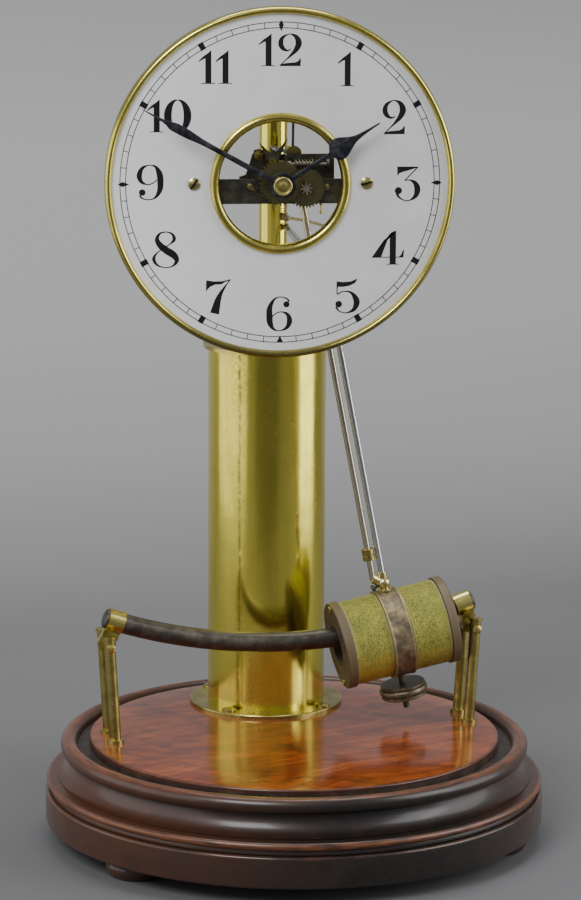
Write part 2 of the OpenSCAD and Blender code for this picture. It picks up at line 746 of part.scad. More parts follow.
module rod_clamp() {
    clamp_h = 6;
    collar_h = 4;
    color("#a98a3a") {
        place_pendulum() translate([0, 0, -cross_clamp_r]) difference() {
            translate([-rod_gap - 2.6, -2.4, -clamp_h / 2]) cube([rod_gap + 5.6, 4.8, clamp_h]);
            translate([0, 0, -clamp_h]) cylinder(r = right_rod_r + fit_gap, h = clamp_h * 2);
            translate([-rod_gap, 0, -clamp_h]) cylinder(r = left_rod_r + fit_gap, h = clamp_h * 2);
        }
        // Collar that the contact spring ends on
        difference() {
            union() {
                place_pendulum() translate([-rod_gap, 0, -spring_hold - collar_h / 2])
                    cylinder(r = left_rod_r + 0.9, h = collar_h);
                at_spring() translate([0, 0, norm(spring_run)]) cylinder(r = spring_cap_r, h = spring_cap_t + 0.6);
            }
            place_pendulum() translate([-rod_gap, 0, -spring_hold - collar_h])
                cylinder(r = left_rod_r + fit_gap, h = 2 * collar_h);
        }
    }
}

// Grooved collar round the left rod
module barrel_nut() {
    color("#b8963c") place_pendulum() translate([-rod_gap, 0, barrel_z - 2.4]) difference() {
        union() {
            cylinder(r = 2.6, h = 2.1);
            cylinder(r = 2.2, h = 4);
            translate([0, 0, 2.5]) cylinder(r = 2.6, h = 2.3);
        }
        translate([0, 0, -1]) cylinder(r = left_rod_r + fit_gap, h = 8);
    }
}

// Ball with the right rod's collar, an ear for the left rod and a neck down to the strap
module rod_ball() {
    neck = coil_z + strap_r - fit_gap;
    color("#c8a63f") place_pendulum() difference() {
        union() {
            translate([0, 0, ball_z]) sphere(r = ball_r);
            translate([0, 0, ball_z + 2.2]) cylinder(r = 1.95, h = 2.6);
            translate([0, 0, neck]) cylinder(r = 2, h = ball_z - neck);
            translate([0, 0, neck]) cylinder(r = 3.2, h = 0.7);
            rod_between([-1.2, ball_z + 0.4], [-rod_gap - 0.2, ball_z + 3], 2);
        }
        translate([0, 0, ball_z + 1]) cylinder(r = right_rod_r + fit_gap, h = 8);
        translate([-rod_gap, 0, ball_z + 2]) cylinder(r = left_rod_r + fit_gap, h = 8);
        rod_between([-6, ball_z - 1.7], [-1.5, ball_z - 0.45], ball_screw_r + fit_gap);
        translate([0, 0, coil_z]) rotate([0, 90, 0]) cylinder(r = strap_r + fit_gap, h = 20, center = true);
    }
}
ball_screw_r = 0.7;

module ball_screw() {
    color("#3a3437") place_pendulum() {
        rod_between([-5, ball_z - 1.42], [-1.6, ball_z - 0.48], ball_screw_r);
        rod_between([-5.5, ball_z - 1.56], [-4.3, ball_z - 1.23], 1.4);
    }
}

module at_coil() {
    place_pendulum() translate([0, 0, coil_z]) rotate([0, 90, 0]) children();
}
spool_wall = 1.4;
web_w = strap_w - 1.2;

module coil_spool() {
    color("#5d4433") at_coil() difference() {
        union() {
            cylinder(r = coil_bore_r + spool_wall, h = coil_l - 2 * cheek_t, center = true);
            cylinder(r = strap_in_r - fit_gap, h = web_w, center = true);
        }
        cylinder(r = coil_bore_r, h = coil_l + 2, center = true);
        translate([strap_in_r - 0.7, 0, 0]) rotate([0, 90, 0]) cylinder(r = stem_r + fit_gap, h = 3);
    }
}
strap_in_r = strap_r - 0.9;

module coil_cheeks() {
    edge = 0.7;
    color("#6b4a3a") at_coil() for (side = [-1, 1]) difference() {
        translate([0, 0, side * (coil_l / 2 - cheek_t / 2)]) mirror([0, 0, side < 0 ? 1 : 0])
            rotate_extrude() polygon(concat([[coil_bore_r, -cheek_t / 2], [cheek_r, -cheek_t / 2]],
                arc(cheek_r - edge, cheek_t / 2 - edge, edge, edge, 0, 90, 5),
                [[coil_bore_r, cheek_t / 2]]));
        for (a = [0, 180]) rotate(a) translate([cheek_screw_r, 0, side * (coil_l / 2 - cheek_t / 2)])
            cylinder(r = 0.9 + fit_gap, h = cheek_t + 1, center = true);
    }
}
cheek_screw_r = cheek_r - 2.5;

module cheek_screws() {
    color("#b9a878") at_coil() for (side = [-1, 1], a = [0, 180])
        rotate(a) translate([cheek_screw_r, 0, side * coil_l / 2]) mirror([0, 0, side < 0 ? 1 : 0])
            rotate(40) screw(1.5, 0.8, 0.9, cheek_t);
}

module coil_strap() {
    lip = 0.2;
    color("#7a5a48") at_coil() difference() {
        rotate_extrude() polygon([[strap_in_r, -strap_w / 2], [strap_r + lip, -strap_w / 2],
            [strap_r + lip, -strap_w / 2 + 0.7], [strap_r, -strap_w / 2 + 1],
            [strap_r, strap_w / 2 - 1], [strap_r + lip, strap_w / 2 - 0.7],
            [strap_r + lip, strap_w / 2], [strap_in_r, strap_w / 2]]);
        rotate([0, 90, 0]) cylinder(r = stem_r + fit_gap, h = 2 * strap_r);
    }
}

winding_end = coil_l / 2 - cheek_t;
winding_start = web_w / 2;

module silk_cores() {
    side_gap = 0.2;
    color("#8f8f3a") at_coil() for (side = [-1, 1]) difference() {
        translate([0, 0, side * (winding_start + winding_end) / 2])
            cylinder(r = core_r, h = winding_end - winding_start - side_gap, center = true);
        cylinder(r = coil_bore_r + spool_wall + fit_gap, h = coil_l, center = true);
    }
}

// Outer layer of turns on each half, from the strap to the cheek
module winding(side) {
    from = strap_w / 2;
    color("#a3a046") at_coil() rotate([side < 0 ? 180 : 0, 0, 0]) translate([0, 0, from])
        helix_wire("a winding", (core_r + winding_wire_r) / cos(180 / 24) + 0.03, winding_end - from,
            winding_turns, 24, winding_wire_r);
}
module winding_left() {
    winding(-1);
}
module winding_right() {
    winding(1);
}

module rating_stem() {
    top = coil_z - strap_in_r + 0.6;
    color("#4d4a45") place_pendulum() translate([0, 0, stem_end]) cylinder(r = stem_r, h = top - stem_end);
}

module rating_nut() {
    r = rating_nut_r;
    h = rating_nut_t / 2;
    bore = stem_r + running_gap;
    color("#5c5342") place_pendulum() translate([0, 0, nut_z]) rotate_extrude() polygon(concat(
        [[bore, -h], [r - 0.9, -h], [r - 0.55, -h + 0.3], [r - 0.55, -h + 1.4], [r - 0.95, -h + 1.6]],
        arc(r - 0.7, 0.1, 0.7, h - 1.55, -90, 90, 8),
        [[r - 1.15, h - 1.4], [r - 0.75, h - 1.2], [r - 0.75, h - 0.3], [r - 1.1, h], [bore, h]]));
}

// Movement, carried by the bracket on the upper column

module movement_bracket() {
    arm_h = 5;
    tab_t = 2;
    inner = [pillar_places[0][0] + 2.6, pillar_places[1][0] - 3.4];
    outer = [pillar_places[0][0] - 3.4, pillar_places[1][0] + 2];
    color("#3b352c") place_head() difference() {
        union() {
            translate([0, 0, bracket_z]) linear_extrude(arm_h) difference() {
                union() {
                    polygon([[outer[0], back_back_y], [inner[0], back_back_y], [inner[0], 36],
                        [inner[1], 36], [inner[1], back_back_y], [outer[1], back_back_y],
                        [outer[1], 44], [-dial_side + 6, 52], [-dial_side - 6, 52], [outer[0], 44]]);
                    translate([-dial_side, dial_reach]) circle(r = upper_column_r + 3);
                }
            }
            for (i = [0, 1]) translate([outer[i] < 0 ? outer[i] : inner[i], back_back_y, bracket_z])
                cube([abs(outer[i] - inner[i]), tab_t, 1 - bracket_z]);
        }
        translate([-dial_side, dial_reach, bracket_z - 1]) cylinder(r = upper_column_r + fit_gap, h = arm_h + 2);
        for (i = [0, 1]) round_y(back_back_y - 1, back_back_y + tab_t + 1, plate_screw_r + fit_gap,
            pillar_places[i][0], pillar_places[i][1]);
    }
}
plate_screw_r = 0.8;
bracket_z = -8.6;

// Screws through the tabs and the back plate into the pillars, and from the front
module bracket_screws() {
    bite = 2.5;
    tab_head_r = 1.5;
    color("#8f7a3a") place_head() for (i = [0, 1]) translate([pillar_places[i][0], 0, pillar_places[i][1]]) {
        translate([0, back_back_y + 2, 0]) rotate([-90, 0, 0])
            screw(tab_head_r, 1, plate_screw_r, 2 + back_back_y - back_y + bite);
        translate([0, front_y + 0.8, 0]) rotate([90, 30, 0])
            screw(front_head_r[i], 0.8, plate_screw_r, plate_t - 0.8 + bite);
    }
}

bar_top = 1.4;
bar_bottom = -8.7;
front_head_r = [1.9, 1.4];

module front_plate() {
    color("#2e2a24") place_head() difference() {
        union() {
            flat_y(front_y, front_back_y) union() {
                translate([-dial_screw_x + 3, bar_bottom]) square([2 * dial_screw_x - 6, bar_top - bar_bottom]);
                for (side = [-1, 1]) translate([side * (dial_screw_x - 1.3), (bar_top + bar_bottom) / 2])
                    circle(r = (bar_top - bar_bottom) / 2);
                for (side = [-1, 1]) translate([side * dial_screw_x, 0]) circle(r = 3.4);
                circle(r = 3.2);
            }
            round_y(front_y - 0.4, front_y + 0.5, 3.3, pillar_places[0][0], pillar_places[0][1]);
        }
        round_y(front_y - 1, front_back_y + 1, centre_r + running_gap);
        round_y(front_y - 1, front_back_y + 1, drive_r + running_gap, minute_x, minute_z);
        for (i = [0, 1]) {
            p = pillar_places[i];
            round_y(front_y - 1, front_back_y + 1, plate_screw_r + fit_gap, p[0], p[1]);
            round_y(front_y - 1, front_y + 0.8, front_head_r[i] + fit_gap, p[0], p[1]);
        }
        for (side = [-1, 1])
            round_y(front_y - 1, front_back_y + 1, dial_screw_r + fit_gap, side * dial_screw_x, 0);
        translate([terminal_x, (front_y + front_back_y) / 2, bar_bottom - 1]) cylinder(r = 0.4 + fit_gap, h = 3);
    }
}
terminal_x = 17;

module back_plate() {
    left = pillar_places[0][0] - 3.4;
    right = pillar_places[1][0] + 4.2;
    color("#2e2a24") place_head() difference() {
        union() {
            flat_y(back_y, back_back_y) union() {
                polygon([[left, bar_bottom], [right, bar_bottom], [right, 9], [right - 1.4, 10.4],
                    [-4, 10.2], [cock_screw_place[0], cock_screw_place[1] + 1], [-10.1, 10.4],
                    [-11.1, 7], [-12.8, 1.9], [left, bar_top - 0.4]]);
                translate(cock_screw_place) circle(r = 2.4);
            }
            // Bearings of the worm shaft, standing forward from the plate
            translate([bearing_x[0], worm_y, worm_z - 3.3]) cube([bearing_t, back_y - worm_y + 0.2, 2.4]);
            translate([bearing_x[0], worm_y, worm_z]) rotate([0, 90, 0]) cylinder(r = 1.8, h = bearing_t);
            translate([bearing_x[1], worm_y, worm_z - 2.2]) cube([bearing_t, back_y - worm_y + 0.2, 4.4]);
            translate([bearing_x[1], worm_y, worm_z]) rotate([0, 90, 0]) cylinder(r = 2.2, h = bearing_t);
        }
        round_y(back_y - 1, back_back_y + 1, centre_r + running_gap);
        round_y(back_y - 1, back_back_y + 1, drive_r + running_gap, minute_x, minute_z);
        round_y(back_y - 1, back_back_y + 1, fork_stud_r + fit_gap, fork_x, fork_z);
        round_y(back_y - 1, back_back_y + 1, 0.8 + fit_gap, cock_screw_place[0], cock_screw_place[1]);
        for (p = pillar_places) round_y(back_y - 1, back_back_y + 1, plate_screw_r + fit_gap, p[0], p[1]);
        for (x = bearing_x) translate([x - 1, worm_y, worm_z]) rotate([0, 90, 0])
            cylinder(r = shaft_r + running_gap, h = bearing_t + 2);
    }
}
bearing_t = 1.2;
bearing_x = [0.9, 19.8];

module plate_pillars() {
    color("#7c6a3c") place_head() for (i = [0, 1]) difference() {
        round_y(front_back_y, back_y, pillar_r[i], pillar_places[i][0], pillar_places[i][1]);
        for (span = [[front_back_y - 1, front_back_y + 2.6], [back_y - 2.6, back_y + 1]])
            round_y(span[0], span[1], plate_screw_r + fit_gap, pillar_places[i][0], pillar_places[i][1]);
    }
}

// Forked lever rocked by the contact pin, with the ratchet pawl on its hub
module contact_fork() {
    hub_y = back_y - 3.05;
    plate_y = [back_y - 2.8, back_y - 1.6];
    color("#26231f") place_head() translate([fork_x, 0, fork_z]) difference() {
        union() {
            flat_y(plate_y[0], plate_y[1]) polygon([[-1.9, -0.8], [1.9, -0.8], [3.6, 3.6], [6.2, 9.7],
                [1.7, 4], [-1.5, 4], [-5.7, 8.1], [-3.4, 3.4]]);
            round_y(hub_y, back_y - 0.3, 2.1);
            translate([0, back_y - 0.65, -0.8]) cube([5.9, 0.3, 1.1]);
        }
        round_y(hub_y - 1, back_y, fork_stud_r + running_gap);
    }
}

// Small cock behind the back plate with the stud that the fork rocks on, and its brass screw
module fork_cock() {
    cock_t = 0.8;
    y1 = back_back_y + cock_t;
    color("#a98a3a") place_head() {
        difference() {
            flat_y(back_back_y, y1) polygon([[-9.6, 6.4], [0, 5], [0.6, 9.6], [-4, 10.2], [-5.4, 12], [-9.4, 12]]);
            round_y(back_back_y - 1, y1 + 1, 0.8, cock_screw_place[0], cock_screw_place[1]);
            round_y(back_back_y - 1, y1 + 1, fork_stud_r, fork_x, fork_z);
        }
        round_y(back_y - 3.3, y1, fork_stud_r, fork_x, fork_z);
        round_y(back_y - 4, back_y - 3.25, 1.6, fork_x, fork_z);
        translate([cock_screw_place[0], back_y, cock_screw_place[1]]) rotate([90, -30, 0])
            screw(2.1, 1.2, 0.8, y1 - back_y);
    }
}

module ratchet_shaft() {
    worm_l = 8;
    core = worm_r - 0.55;
    tip = worm_r + 0.4;
    turns = worm_l / worm_pitch;
    steps = 16;
    n = floor(turns * steps);
    start = -90 - 360 * worm_l / 2 / worm_pitch;
    rings = [for (i = [0:n]) let (a = start + 360 * i / steps, x = worm_pitch * i / steps, fade = min(1, i / 6, (n - i) / 6))
        for (p = [[core - 0.15, 0.36], [core + (tip - core) * fade + 0.01, 0.12],
            [core + (tip - core) * fade + 0.01, -0.12], [core - 0.15, -0.36]])
            [x + p[1], p[0] * cos(a), p[0] * sin(a)]];
    faces = concat([[0, 1, 2], [0, 2, 3]], [[4 * n, 4 * n + 2, 4 * n + 1], [4 * n, 4 * n + 3, 4 * n + 2]],
        [for (i = [0:n - 1], k = [0:3]) let (a = 4 * i + k, b = 4 * i + (k + 1) % 4)
            for (f = [[a, a + 4, b], [b, a + 4, b + 4]]) f]);
    color("#a7a8aa") place_head() translate([0, worm_y, worm_z]) {
        rotate([0, 90, 0]) translate([0, 0, bearing_x[0]])
            cylinder(r = shaft_r, h = bearing_x[1] + bearing_t - bearing_x[0]);
        translate([minute_x - worm_l / 2, 0, 0]) {
            rotate([0, 90, 0]) cylinder(r = core, h = worm_l);
            polyhedron(rings, faces);
        }
        translate([2.8, 0, 0]) rotate([0, 90, 0]) linear_extrude(0.8) polygon([for (i = [0:worm_wheel_teeth - 1])
            for (p = [[ratchet_r, 0], [ratchet_r - 0.5, 1.5]])
                p[0] * [cos(360 * i / worm_wheel_teeth + p[1]), sin(360 * i / worm_wheel_teeth + p[1])]]);
        rotate([0, 90, 0]) translate([0, 0, 3.6]) cylinder(r = 1.6, h = 1.6);
    }
}

module click_spring() {
    color("#8e9094") place_head() {
        translate([2.7, worm_y - 0.6, worm_z + ratchet_r + 0.12])
            cube([1, back_back_y - worm_y + 0.9, 0.25]);
        translate([2.7, back_back_y, worm_z + ratchet_r - 4]) cube([1, 0.3, 4.37]);
    }
}

// Arbor under the minute wheel: worm wheel and the pinion that drives the centre wheel
module drive_arbor() {
    color("#b39a55") place_head() translate([minute_x, 0, minute_z]) {
        round_y(0.1, back_back_y - 0.2, drive_r);
        flat_y(front_back_y + 0.3, front_back_y + 2.2) rotate(centre_line + 180 + 180 / leaf_count)
            wheel_outline(leaf_count, hour_module, 0.75, 0.95, 0.4);
        flat_y(worm_y - 0.6, worm_y + 0.6) rotate(90 + 180 / worm_wheel_teeth)
            wheel_outline(worm_wheel_teeth, worm_wheel_r * 2 / worm_wheel_teeth, 0.8, 1.2, 0.56);
        round_y(worm_y - 1.6, worm_y + 1.4, 2);
    }
}

module centre_arbor() {
    color("#b39a55") place_head() {
        round_y(minute_hand_y - 1.9, back_back_y - 0.2, centre_r);
        flat_y(front_back_y + 0.4, front_back_y + 1.2) rotate(centre_line)
            wheel_outline(hour_teeth, hour_module, 0.75, 0.95, 0.46);
        round_y(front_back_y + 1.2, front_back_y + 2.6, 2);
        difference() {
            union() {
                round_y(minute_hand_y, dial_t + 2.3, cannon_r);
                flat_y(dial_t + 1.1, dial_t + 2.3) rotate(centre_line)
                    wheel_outline(cannon_leaves, minute_module, 0.8, 1, 0.4);
            }
            round_y(minute_hand_y - 1, front_y, centre_r);
        }
    }
}

module minute_wheel() {
    color("#9c8444") place_head() translate([minute_x, 0, minute_z]) difference() {
        union() {
            flat_y(dial_t + 1.3, dial_t + 2.1) rotate(centre_line + 180 + 180 / minute_teeth)
                wheel_outline(minute_teeth, minute_module, 0.8, 1.1, 0.46);
            flat_y(-0.6, dial_t + 1.3) rotate(centre_line + 180 + 180 / leaf_count)
                wheel_outline(leaf_count, hour_module, 0.75, 0.95, 0.4);
        }
        round_y(-2, front_y, drive_r + running_gap);
    }
}

module hour_wheel() {
    color("#8a7a45") place_head() difference() {
        union() {
            flat_y(-0.4, 0.6) rotate(centre_line)
                wheel_outline(hour_teeth, hour_module, 0.75, 0.95, 0.46);
            round_y(hour_hand_y - 0.4, 0.6, pipe_r);
        }
        round_y(hour_hand_y - 1, 2, cannon_r + running_gap);
    }
}

module clockwise(a) {
    rotate([0, a, 0]) children();
}

module minute_hand() {
    l = minute_hand_l;
    color("#23252b") place_head() {
        clockwise(minute_angle) difference() {
            union() {
                flat_y(minute_hand_y + 0.1, minute_hand_y + 0.8) polygon(blade(long_blade, l));
                round_y(minute_hand_y, minute_hand_y + 1.6, hub_r);
            }
            round_y(minute_hand_y - 1, 0, cannon_r);
        }
        // Domed brass nut on the end of the arbor
        difference() {
            turned_y() polygon(concat([[0, -minute_hand_y], [3.8, -minute_hand_y]],
                arc(3.2, -minute_hand_y + 1.2, 0.6, 0.6, 0, 90, 5), [[2.4, -minute_hand_y + 1.4], [0, -minute_hand_y + 1.1]]));
            round_y(minute_hand_y - 3, 0, centre_r);
        }
    }
}

module hour_hand() {
    l = hour_hand_l;
    color("#23252b") place_head() clockwise(hour_angle) difference() {
        union() {
            flat_y(hour_hand_y + 0.2, hour_hand_y + 0.9) polygon(blade(short_blade, l));
            round_y(hour_hand_y, hour_hand_y + 1.9, hub_r - 0.2);
        }
        round_y(hour_hand_y - 1, 0, pipe_r);
    }
}
// Half widths of the hands against the share of their length
long_blade = [[1.1, 0], [1.1, 0.3], [1.05, 0.48], [1.2, 0.575], [1.45, 0.62], [1.76, 0.666], [1.9, 0.71],
    [1.9, 0.759], [1.6, 0.785], [1.2, 0.808], [0.6, 0.86], [0.4, 0.905], [0.16, 1]];
short_blade = [[1, 0], [0.85, 0.49], [2.2, 0.512], [3.7, 0.532], [4.5, 0.555], [4.75, 0.578], [4.5, 0.604],
    [4.05, 0.633], [3.3, 0.662], [2.55, 0.69], [1.85, 0.72], [1.35, 0.75], [0.8, 0.82], [0.32, 1]];
function blade(half, l) = concat([for (p = half) [-p[0], p[1] * l]],
    [for (i = [len(half) - 1:-1:0]) [half[i][0], half[i][1] * l]]);

// Dial

module dial_plate() {
    color("#c9c8c0") place_head() flat_y(0, dial_t) difference() {
        circle(r = bezel_r - 1.4);
        circle(r = opening_r);
        for (side = [-1, 1]) translate([side * dial_screw_x, 0]) circle(r = dial_screw_r + fit_gap);
    }
}

module dial_bezel() {
    inner = bezel_r - bezel_w;
    wall = bezel_r - 1.4 + fit_gap;
    color("#8a7a2e") place_head() turned_y()
        polygon(concat([[wall, -bezel_depth], [bezel_r, -bezel_depth]],
            arc((inner + bezel_r) / 2, 0, bezel_w / 2, 2.2, 0, 180, 16), [[wall, 0]]));
}

// Ring round the opening, with its sleeve through the dial
module opening_ring() {
    color("#8a7a2e") place_head() turned_y()
        polygon(concat([[ring_r - ring_w, -2.4], [opening_r - fit_gap, -2.4], [opening_r - fit_gap, 0]],
            arc(ring_r - ring_w / 2, 0, ring_w / 2, 2, 0, 180, 16)));
}

// Screws through the dial, their distance pieces, and the terminal screw under the bar
module dial_fixings() {
    color("#b39a4a") place_head() {
        for (side = [-1, 1]) {
            translate([side * dial_screw_x, 0, 0]) rotate([90, side * 20 - 35, 0])
                screw(2.5, 1.2, dial_screw_r, front_back_y);
            difference() {
                round_y(dial_t, front_y, 2.6, side * dial_screw_x, 0);
                round_y(dial_t - 1, front_y + 1, dial_screw_r + fit_gap, side * dial_screw_x, 0);
            }
        }
        translate([terminal_x, (front_y + front_back_y) / 2, bar_bottom - 4.2]) {
            cylinder(r = 0.4, h = 6);
            cylinder(r = 0.95, h = 1);
            translate([0, 0, 3.6]) cylinder(r = 0.85, h = 0.6);
        }
    }
}

bun_feet();
foot_screws();
base_plinth();
base_moulding();
base_screws();
column_flange();
flange_screws();
column_tube();
column_lid();
battery_cell();
upper_column();
upper_column_fittings();
lead_bushing();
braided_lead();
pigtail_coil();
contact_spring();
suspension_cock();
suspension_pin();
magnet_bar();
magnet_clamps();
magnet_posts();
cross_screws();
post_spacers();
pendulum_hook();
pendulum_block();
contact_pin();
left_rod();
right_rod();
rod_clamp();
barrel_nut();
rod_ball();
ball_screw();
coil_spool();
coil_cheeks();
cheek_screws();
coil_strap();
silk_cores();
winding_left();
winding_right();
rating_stem();
rating_nut();
movement_bracket();
bracket_screws();
back_plate();
front_plate();
plate_pillars();
contact_fork();
fork_cock();
ratchet_shaft();
click_spring();
drive_arbor();
centre_arbor();
minute_wheel();
hour_wheel();
minute_hand();
hour_hand();
dial_plate();
dial_bezel();
opening_ring();
dial_fixings();
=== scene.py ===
import json
import math

import bmesh
import bpy
from mathutils import Euler, Matrix, Vector


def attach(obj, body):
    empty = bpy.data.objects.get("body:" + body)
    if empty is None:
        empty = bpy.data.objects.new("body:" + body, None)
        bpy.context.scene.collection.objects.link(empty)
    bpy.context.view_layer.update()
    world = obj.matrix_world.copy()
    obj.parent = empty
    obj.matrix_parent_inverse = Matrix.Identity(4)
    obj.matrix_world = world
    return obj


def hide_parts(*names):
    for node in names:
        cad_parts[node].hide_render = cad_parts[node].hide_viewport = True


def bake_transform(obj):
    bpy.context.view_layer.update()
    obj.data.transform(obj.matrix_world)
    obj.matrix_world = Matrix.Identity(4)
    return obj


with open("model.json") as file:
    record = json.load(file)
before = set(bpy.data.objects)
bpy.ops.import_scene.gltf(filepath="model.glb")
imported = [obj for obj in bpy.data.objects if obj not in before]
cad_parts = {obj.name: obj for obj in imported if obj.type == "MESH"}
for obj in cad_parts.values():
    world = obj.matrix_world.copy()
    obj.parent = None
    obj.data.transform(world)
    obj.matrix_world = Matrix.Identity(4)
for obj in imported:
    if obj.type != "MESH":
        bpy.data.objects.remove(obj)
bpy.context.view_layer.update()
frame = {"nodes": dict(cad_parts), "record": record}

nodes = frame["nodes"]

# Sizes in millimetres and angles in degrees, as in the part's source
COLUMN_Y = 53
UPPER_Y = 43.3
SWING_Y = 7.8
PIVOT_Z = 310
SWING_REST = -11.15
COIL_RADIUS = 232
DIAL_SIDE = -2.4
DIAL_REACH = 56
DIAL_TURN = -7.7
DIAL_Z = 277.5
DIAL_SCREW_X = 35.2
MINUTE_HAND_L = 64.6
HOUR_HAND_L = 46.7
MINUTE_ANGLE = -61.2
HOUR_ANGLE = 57.8
MINUTE_WHEEL_AT = (10.5, -2.1)


def shift(x, y, z):
    return Matrix.Translation((x, y, z))


def turn(angle, axis):
    return Matrix.Rotation(math.radians(angle), 4, axis)


TABLE = Matrix.Scale(0.001, 4)
HEAD = TABLE @ shift(0, UPPER_Y, 0) @ turn(DIAL_TURN, "Z") @ shift(DIAL_SIDE, -DIAL_REACH, DIAL_Z)
COLUMN = TABLE @ shift(0, COLUMN_Y, 0)
PENDULUM = TABLE @ shift(0, SWING_Y, PIVOT_Z) @ turn(SWING_REST, "Y")
COIL = PENDULUM @ shift(0, 0, -COIL_RADIUS) @ turn(90, "Y")
# A lathe stands on its Z axis; on the head that axis looks out of the dial
OUT_OF_DIAL = HEAD @ turn(90, "X")
# Middles of the patterns on the dial and the coil, in millimetres on the table
DIAL_AT = HEAD.to_translation() * 1000
COIL_AT = COIL.to_translation() * 1000


# Shader maths
class Flow:
    """A shader socket that takes Python arithmetic."""

    def __init__(self, finish, socket):
        self.finish, self.socket = finish, socket

    def _math(self, kind, other, flip=False):
        pair = (other, self) if flip else (self, other)
        return self.finish.add("ShaderNodeMath", {0: pair[0], 1: pair[1]}, operation=kind)

    def __add__(self, other):
        return self._math("ADD", other)

    def __sub__(self, other):
        return self._math("SUBTRACT", other)

    def __rsub__(self, other):
        return self._math("SUBTRACT", other, True)

    def __mul__(self, other):
        return self._math("MULTIPLY", other)

    def __pow__(self, other):
        return self._math("POWER", other)

    def __abs__(self):
        return self._math("ABSOLUTE", 0)

    __radd__ = __add__
    __rmul__ = __mul__


class Finish:
    """One procedural material; its patterns are laid out in millimetres on the piece."""

    def __init__(self, name):
        self.material = bpy.data.materials.new(name)
        self.material.use_nodes = True
        self.tree = self.material.node_tree
        self.tree.nodes.clear()
        self.place = self.add("ShaderNodeTexCoord", out="Object")

    def add(self, kind, sockets=None, out=0, **settings):
        """A node with its settings first and then the values or links of its sockets."""
        node = self.tree.nodes.new(kind)
        for key, value in settings.items():
            if key == "stops":
                band = node.color_ramp.elements
                while len(band) < len(value):
                    band.new(0.5)
                for element, (at, colour) in zip(band, value):
                    element.position = at
                    element.color = (*colour, 1)
            else:
                setattr(node, key, value)
        for key, value in (sockets or {}).items():
            if isinstance(value, Flow):
                self.tree.links.new(value.socket, node.inputs[key])
            elif node.inputs[key].type == "RGBA":
                node.inputs[key].default_value = (*value, 1)
            else:
                node.inputs[key].default_value = value
        return Flow(self, node.outputs[out])

    def at(self, centre=(0, 0, 0), angles=(0, 0, 0), stretch=(1, 1, 1)):
        """Coordinates in millimetres about a centre; angles turn the pattern, stretch lengthens it."""
        return self.add("ShaderNodeMapping", {"Vector": self.place,
            "Location": [c * 0.001 for c in centre], "Rotation": [math.radians(a) for a in angles],
            "Scale": [s * 0.001 for s in stretch]}, vector_type="TEXTURE")

    def noise(self, where, size, detail=3, rough=0.5, warp=0.0):
        return self.add("ShaderNodeTexNoise", {"Vector": where, "Scale": 1 / size, "Detail": detail,
            "Roughness": rough, "Distortion": warp})

    def ramp(self, value, *stops):
        return self.add("ShaderNodeValToRGB", {0: value}, stops=stops)

    def level(self, value, low, high, to_low=0.0, to_high=1.0):
        return self.add("ShaderNodeMapRange", {"Value": value, "From Min": low, "From Max": high,
            "To Min": to_low, "To Max": to_high})

    def blend(self, amount, one, other):
        return self.add("ShaderNodeMix", {0: amount, 6: one, 7: other}, out=2, data_type="RGBA")

    def vector(self, x, y, z=0.0):
        return self.add("ShaderNodeCombineXYZ", {0: x, 1: y, 2: z})

    def sine(self, value):
        return self.add("ShaderNodeMath", {0: value}, operation="SINE")

    def parts(self, where):
        axes = self.add("ShaderNodeSeparateXYZ", {0: where}).socket.node.outputs
        return [Flow(self, axis) for axis in axes]

    def radius(self, a, b):
        return (a * a + b * b) ** 0.5

    def angle(self, a, b):
        return a._math("ARCTAN2", b)

    def bump(self, height, depth, strength):
        return self.add("ShaderNodeBump", {"Height": height, "Strength": strength,
            "Distance": depth * 0.001})

    def close(self, **sockets):
        """Ends the material with its shader."""
        named = {key.replace("_", " "): value for key, value in sockets.items()}
        shader = self.add("ShaderNodeBsdfPrincipled", named)
        end = self.tree.nodes.new("ShaderNodeOutputMaterial")
        self.tree.links.new(shader.socket, end.inputs["Surface"])
        return self.material


